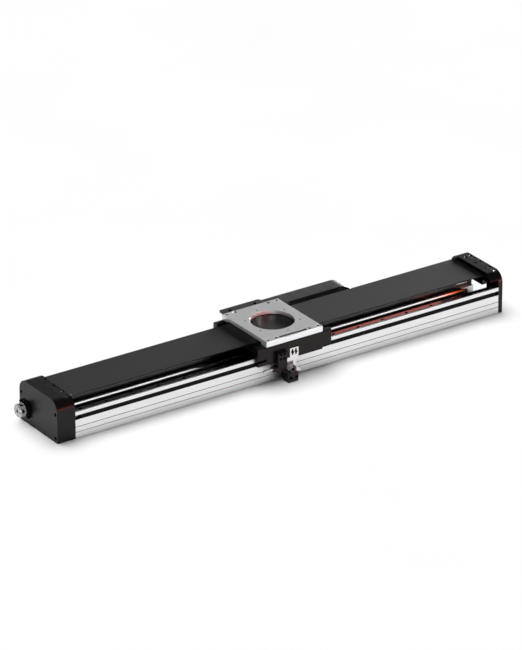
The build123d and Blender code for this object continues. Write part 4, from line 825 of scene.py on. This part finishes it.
# %% Floor and sky
FLOOR_REACH = 30.0
FLOOR_DROP = 0.2 * MM
SKY_STRENGTH = 0.06
floor = piece("floor", [(-FLOOR_REACH, -FLOOR_REACH, 0), (FLOOR_REACH, -FLOOR_REACH, 0),
                        (FLOOR_REACH, FLOOR_REACH, 0), (-FLOOR_REACH, FLOOR_REACH, 0)], [(0, 1, 2, 3)])
floor.location.z = CAD_BOX[0][2] - FLOOR_DROP
floor.data.materials.append(surface("white floor", "#FAFAFA", "#F7F7F7", 0.8, grain=400.0, bump=0.0))
floor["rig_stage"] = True

world = bpy.data.worlds.new("studio")
world.use_nodes = True
world.node_tree.nodes["Background"].inputs["Color"].default_value = linear("#FFFFFF")
world.node_tree.nodes["Background"].inputs["Strength"].default_value = SKY_STRENGTH
world.cycles_visibility.diffuse = False
bpy.context.scene.world = world
print("floor at", round(floor.location.z / MM, 2), "mm, sky", SKY_STRENGTH)

# %% [markdown]
# In a studio, flags and cards decide which surface a lamp reaches. Light linking does it here: a
# lamp gets a list of the pieces that it lights, or of the pieces that cast its shadow. Far lamps
# are given by where they stand in the sky, and near ones are flat panels.

# %% Kinds of lamps
def far_light(name, azimuth, elevation, width, energy):
    """A far round light: its azimuth from +Y towards +X, elevation and width in degrees."""
    data = bpy.data.lights.new(name, "SUN")
    data.energy = energy
    data.angle = math.radians(width)
    lamp = bpy.data.objects.new(name, data)
    lamp.rotation_euler = (math.radians(elevation - 90), 0, math.radians(-azimuth))
    bpy.context.scene.collection.objects.link(lamp)
    return lamp


# %% Which pieces a lamp reaches
def only_on(lamp, *finishes):
    """Let a lamp light only the pieces that have one of these finishes."""
    wanted = {MATERIAL[make] for make in finishes}
    takers = bpy.data.collections.new(lamp.name + " takers")
    for taker in bpy.data.objects:
        if taker.type == "MESH" and wanted.intersection(taker.data.materials):
            takers.objects.link(taker)
    lamp.light_linking.receiver_collection = takers


def no_shadow_of(lamp, *left_out):
    """Let these pieces cast no shadow from a lamp, and all other pieces cast theirs."""
    blockers = bpy.data.collections.new(lamp.name + " blockers")
    for blocker in bpy.data.objects:
        if blocker.type == "MESH" and blocker.name not in left_out:
            blockers.objects.link(blocker)
    lamp.light_linking.blocker_collection = blockers


# %% Near panels
def soft_panel(name, place, aim, size, power, colour):
    """A rectangular area light at a place, turned to a point, all in metres and watts."""
    data = bpy.data.lights.new(name, "AREA")
    data.shape = "RECTANGLE"
    data.size, data.size_y = size
    data.energy = power
    data.color = linear(colour)[:3]
    panel = bpy.data.objects.new(name, data)
    panel.location = place
    gaze = np.array(aim) - np.array(place)
    flat = math.hypot(gaze[0], gaze[1])
    panel.rotation_euler = (math.atan2(flat, -gaze[2]), 0, math.atan2(-gaze[0], gaze[1]))
    bpy.context.scene.collection.objects.link(panel)
    return panel


# %% [markdown]
# The ceiling whitens the floor and lights all tops, but shows in no gloss. Small parts low over
# the floor would leave dark blobs under themselves, so they cast no shadow from it. A low light
# on the right is seen only as a reflection, which turns the black cover and the carriage's sides
# grey. A low light in front shows the base's front and its grooves, one on the camera's side
# brightens the plate's edges, and one serves the white tape alone.

# %% White lamps
SMALL = ["connector_cage", "connector_flange", "connector_insert", "switch_block", "switch_flag",
         "sensor_barrel", "sensor_bracket", "sensor_box"]
ceiling = far_light("ceiling", azimuth=0, elevation=74, width=54, energy=3.6)
ceiling.visible_glossy = False
no_shadow_of(ceiling, *SMALL)
low_right = far_light("low_right", azimuth=62, elevation=7, width=20, energy=24.0)
low_right.visible_diffuse = False
only_on(low_right, black_anodised, black_cover_sheet, moulded_nylon, smooth_black_plastic,
        milled_anodised_plate, satin_nickel, stainless_sheet)
low_front = far_light("low_front", azimuth=146, elevation=6, width=20, energy=2.0)
only_on(low_front, clear_anodised_extrusion, milled_anodised_plate)
no_shadow_of(low_front, *SMALL)
camera_side = far_light("camera_side", azimuth=212, elevation=4, width=4, energy=1.8)
only_on(camera_side, milled_anodised_plate, satin_nickel, stainless_sheet)
tape_light = far_light("tape_light", azimuth=117, elevation=12, width=8, energy=14.0)
only_on(tape_light, measuring_tape)

# %% [markdown]
# Two red lamps are seen as reflections on black edges: a panel so low that no top can mirror it,
# and a strip high over the front. Three small glows stand inside the part: in the load plate's
# bore, over the rail, and by the tape under the cover. They are hidden from the camera.

# %% Red lamps and glows
RED_PANEL_Z = 42 * MM
low, high = corners("top_plate")
bore_x, bore_y = (low[0] + high[0]) / 2, (low[1] + high[1]) / 2
bore_z = high[2] - 4 * MM
glints = [
    soft_panel("red_panel", place=(1.75, -1.95, RED_PANEL_Z), aim=(0, 0, RED_PANEL_Z),
               size=(2.2, 0.08), power=40.0, colour="#FF7A66"),
    soft_panel("red_strip", place=(-0.75, -1.1, 2.8), aim=(0, 0, 0.08),
               size=(4.0, 0.3), power=14.0, colour="#FF4A33"),
]
for glint in glints:
    glint.visible_diffuse = False
    only_on(glint, black_anodised, smooth_black_plastic, satin_nickel, stainless_sheet,
            ground_rail_steel)
bore_glow = soft_panel("bore_glow", place=(bore_x + 12 * MM, bore_y - 12 * MM, bore_z),
                       aim=(bore_x - 40 * MM, bore_y + 10 * MM, bore_z),
                       size=(0.012, 0.004), power=0.03, colour="#FF5A40")
only_on(bore_glow, milled_anodised_plate)
rail_glow = soft_panel("rail_glow", place=(0.25, 0.0, 0.066), aim=(0.25, -0.036, 0.045),
                       size=(0.36, 0.01), power=0.012, colour="#FF8A7A")
only_on(rail_glow, ground_rail_steel)
ember = soft_panel("ember", place=(0.445, -0.042, 0.066), aim=(0.43, -0.03, 0.04),
                   size=(0.012, 0.006), power=0.02, colour="#FF6420")
only_on(ember, measuring_tape, potting_resin, ground_rail_steel)
glows = [bore_glow, rail_glow, ember]
for glow in glows:
    glow.visible_camera = False
print("red lamps", len(glints), "and small glows", len(glows))

# %% The box of the finished scene
low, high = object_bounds()
